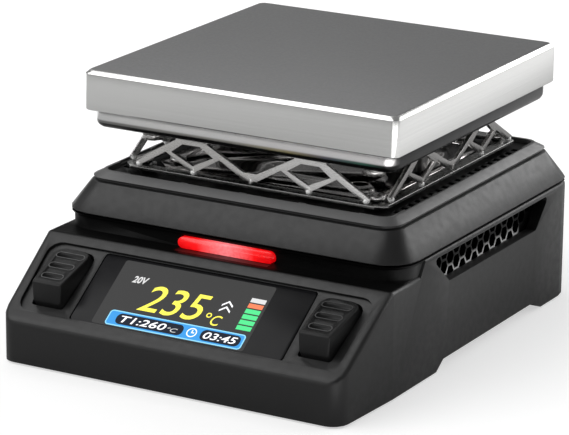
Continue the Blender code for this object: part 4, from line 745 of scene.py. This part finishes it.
def screen():
    """Lit field with its readings and two arrows."""
    ink("screen_field", rounded(rectangle(*SCREEN), SCREEN_CORNER), FIELD_LAYER, LIT)
    for name, words, x, s, height, width, material, slant, weight in READINGS:
        ink_words(name, words, x, s, height, width, GRAPHIC_LAYER, material, slant, weight)
    outer = circle(DEGREE_X, DEGREE_S, DEGREE_RADIUS)
    inner = circle(DEGREE_X, DEGREE_S, DEGREE_RADIUS - DEGREE_LINE)
    ink_ring("reading_degree", outer, inner, GRAPHIC_LAYER, YELLOW)
    left = CHEVRON_X - CHEVRON_HALF
    right = CHEVRON_X + CHEVRON_HALF
    for index in range(CHEVRON_COUNT):
        s = CHEVRON_LOW + index * CHEVRON_PITCH
        high = s + CHEVRON_LINE
        outline = [(left, s), (CHEVRON_X, s + CHEVRON_RISE), (right, s),
                   (right, high), (CHEVRON_X, high + CHEVRON_RISE), (left, high)]
        ink(f"chevron_{index + 1}", outline, GRAPHIC_LAYER, WHITE)


def level_bar():
    """Column of cells: silver on top, then orange and green."""
    for index, material in enumerate(LEVELS):
        high = LEVEL_TOP - index * LEVEL_PITCH
        cell = rectangle(LEVEL_X, high - LEVEL_HEIGHT, LEVEL_X + LEVEL_WIDTH, high)
        ink(f"level_{index + 1}", cell, GRAPHIC_LAYER, material)


def status_bar():
    """Blue bar with a set value, a clock and a time."""
    x0, s0, x1, s1 = STATUS_BAR
    line = STATUS_LINE
    outer = rounded(rectangle(x0, s0, x1, s1), STATUS_CORNER)
    inner = rounded(rectangle(x0 + line, s0 + line, x1 - line, s1 - line), STATUS_CORNER - line)
    ink("status_field", inner, GRAPHIC_LAYER, BLUE)
    ink_ring("status_border", outer, inner, GRAPHIC_LAYER, SKY)
    low = s0 + CAPSULE_MARGIN
    high = s1 - CAPSULE_MARGIN
    word_height = high - low - 2 * WORD_MARGIN
    for capsule, left, right, texts in CAPSULES:
        outline = rounded(rectangle(left, low, right, high), (high - low) * CAPSULE_ROUND)
        ink(capsule, outline, CAPSULE_LAYER, NIGHT)
        for name, words, x, width, share, material, weight in texts:
            ink_words(name, words, x, low + WORD_MARGIN, word_height * share, width, WORD_LAYER,
                      material, STATUS_SLANT, weight)
    clock(CLOCK_X, (low + high) / 2)


def clock(x, s):
    """Round clock whose hands point up and to the right."""
    half = CLOCK_LINE / 2
    outer = circle(x, s, CLOCK_RADIUS)
    inner = circle(x, s, CLOCK_RADIUS - CLOCK_LINE)
    ink_ring("clock_ring", outer, inner, CAPSULE_LAYER, WHITE)
    hands = (
        ("clock_hand_up", rectangle(x - half, s + half, x + half, s + HAND_UP)),
        ("clock_hand_side", rectangle(x + half, s - half, x + HAND_RIGHT, s + half)),
        ("clock_middle", rectangle(x - half, s - half, x + half, s + half)),
    )
    for name, outline in hands:
        ink(name, outline, CAPSULE_LAYER, WHITE)


# Surroundings

# Floor: size, colour and roughness, its level when seen, and its level in reflections, which grows
# towards the right from one place along X to another
FLOOR_SIZE = 3000.0
FLOOR_COLOUR = (0.55, 0.55, 0.55)
FLOOR_ROUGHNESS = 0.9
FLOOR_SEEN = 0.55
FLOOR_GLOW = (0.0, 0.45)
FLOOR_SPAN = (20.0, 80.0)

# Brighter corners of the floor that the metal's upright edges reflect: where each starts and is
# full along X and Y, and its level
GLOW_CORNERS = (
    ((30.0, 38.0), (-38.0, -46.0), 1.6),
    ((-60.0, -80.0), (10.0, 30.0), 0.95),
)

# Colour of the floor's and the world's light, and the world's levels when not seen and when seen
WHITE_LIGHT = (1.0, 1.0, 1.0)
WORLD_LEVELS = (0.22, 1.0)

# Soft boxes and the point that they face: name, direction and distance from it, width, height, power
LIGHT_AIM = (0.0, 8.0, 22.0)
SOFT_BOXES = (
    ("light_right_rear", (0.443, 0.833, 0.36), 700.0, 700.0, 330.0, 2.7),
    ("light_left_front", (-0.48, -0.52, 0.7), 700.0, 800.0, 800.0, 4.4),
    ("light_left_top", (-0.45, 0.42, 0.79), 700.0, 450.0, 450.0, 0.9),
)


def floor():
    """White floor that is brighter in reflections towards the right and in its glowing corners."""
    look = Look("floor_white", FLOOR_COLOUR, FLOOR_ROUGHNESS).set("Emission Color", WHITE_LIGHT)
    glow = look.ramp(look.axis(look.place, "X"), metres(FLOOR_SPAN), FLOOR_GLOW)
    for span_x, span_y, level in GLOW_CORNERS:
        to_right = look.ramp(look.axis(look.place, "X"), metres(span_x))
        to_rear = look.ramp(look.axis(look.place, "Y"), metres(span_y))
        corner = look.math("MULTIPLY", to_right, to_rear)
        glow = look.math("ADD", glow, look.math("MULTIPLY", corner, level))
    rays = look.nodes.new("ShaderNodeLightPath").outputs
    reflected = look.math("MULTIPLY", glow, rays["Is Glossy Ray"])
    seen = look.math("ADD", rays["Is Camera Ray"], rays["Is Transmission Ray"])
    look.set("Emission Strength", look.math("MULTIPLY_ADD", seen, FLOOR_SEEN, reflected))
    mesh = bmesh.new()
    bmesh.ops.create_grid(mesh, x_segments=1, y_segments=1, size=FLOOR_SIZE * MM)
    solid("floor", mesh, look.material)


def world():
    """Even white surroundings, brighter where the camera sees them."""
    studio = bpy.data.worlds.new("studio")
    bpy.context.scene.world = studio
    studio.use_nodes = True
    nodes = studio.node_tree.nodes
    links = studio.node_tree.links
    background = nodes["Background"]
    background.inputs["Color"].default_value = (*WHITE_LIGHT, 1.0)
    strength = nodes.new("ShaderNodeMapRange")
    strength.inputs["To Min"].default_value = WORLD_LEVELS[0]
    strength.inputs["To Max"].default_value = WORLD_LEVELS[1]
    rays = nodes.new("ShaderNodeLightPath").outputs
    links.new(rays["Is Camera Ray"], strength.inputs["Value"])
    links.new(strength.outputs["Result"], background.inputs["Strength"])


def lights():
    """Soft boxes that face the object."""
    aim = Vector(LIGHT_AIM) * MM
    for name, direction, distance, width, height, power in SOFT_BOXES:
        data = bpy.data.lights.new(name, "AREA")
        data.shape = "RECTANGLE"
        data.size = width * MM
        data.size_y = height * MM
        data.energy = power
        lamp = link(bpy.data.objects.new(name, data))
        way = Vector(direction).normalized()
        lamp.location = aim + way * distance * MM
        lamp.rotation_euler = way.to_track_quat("Z", "Y").to_euler()


def camera():
    """Camera at the photograph's place, turned and rolled as fitted."""
    azimuth = radians(CAMERA_AZIMUTH)
    elevation = radians(CAMERA_ELEVATION)
    roll = radians(CAMERA_ROLL)
    back = Vector((sin(azimuth) * cos(elevation), -cos(azimuth) * cos(elevation), sin(elevation)))
    right = Vector((0.0, 0.0, 1.0)).cross(back).normalized()
    up = back.cross(right)
    tilted_right = right * cos(roll) + up * sin(roll)
    tilted_up = up * cos(roll) - right * sin(roll)
    turn = Matrix((tilted_right, tilted_up, back)).transposed().to_4x4()
    data = bpy.data.cameras.new("camera")
    data.sensor_fit = "HORIZONTAL"
    data.sensor_width = SENSOR_WIDTH
    data.lens = FOCAL_PIXELS / IMAGE_WIDTH * SENSOR_WIDTH
    data.clip_start = CLIP_START * MM
    eye = link(bpy.data.objects.new("camera", data))
    eye.matrix_world = Matrix.Translation(Vector(CAMERA_PLACE) * MM) @ turn
    bpy.context.scene.camera = eye


dress_nodes()
lattice_balls()
groove_rims()
screen()
level_bar()
status_bar()
floor()
world()
lights()
camera()
bpy.context.scene.view_settings.view_transform = "Standard"
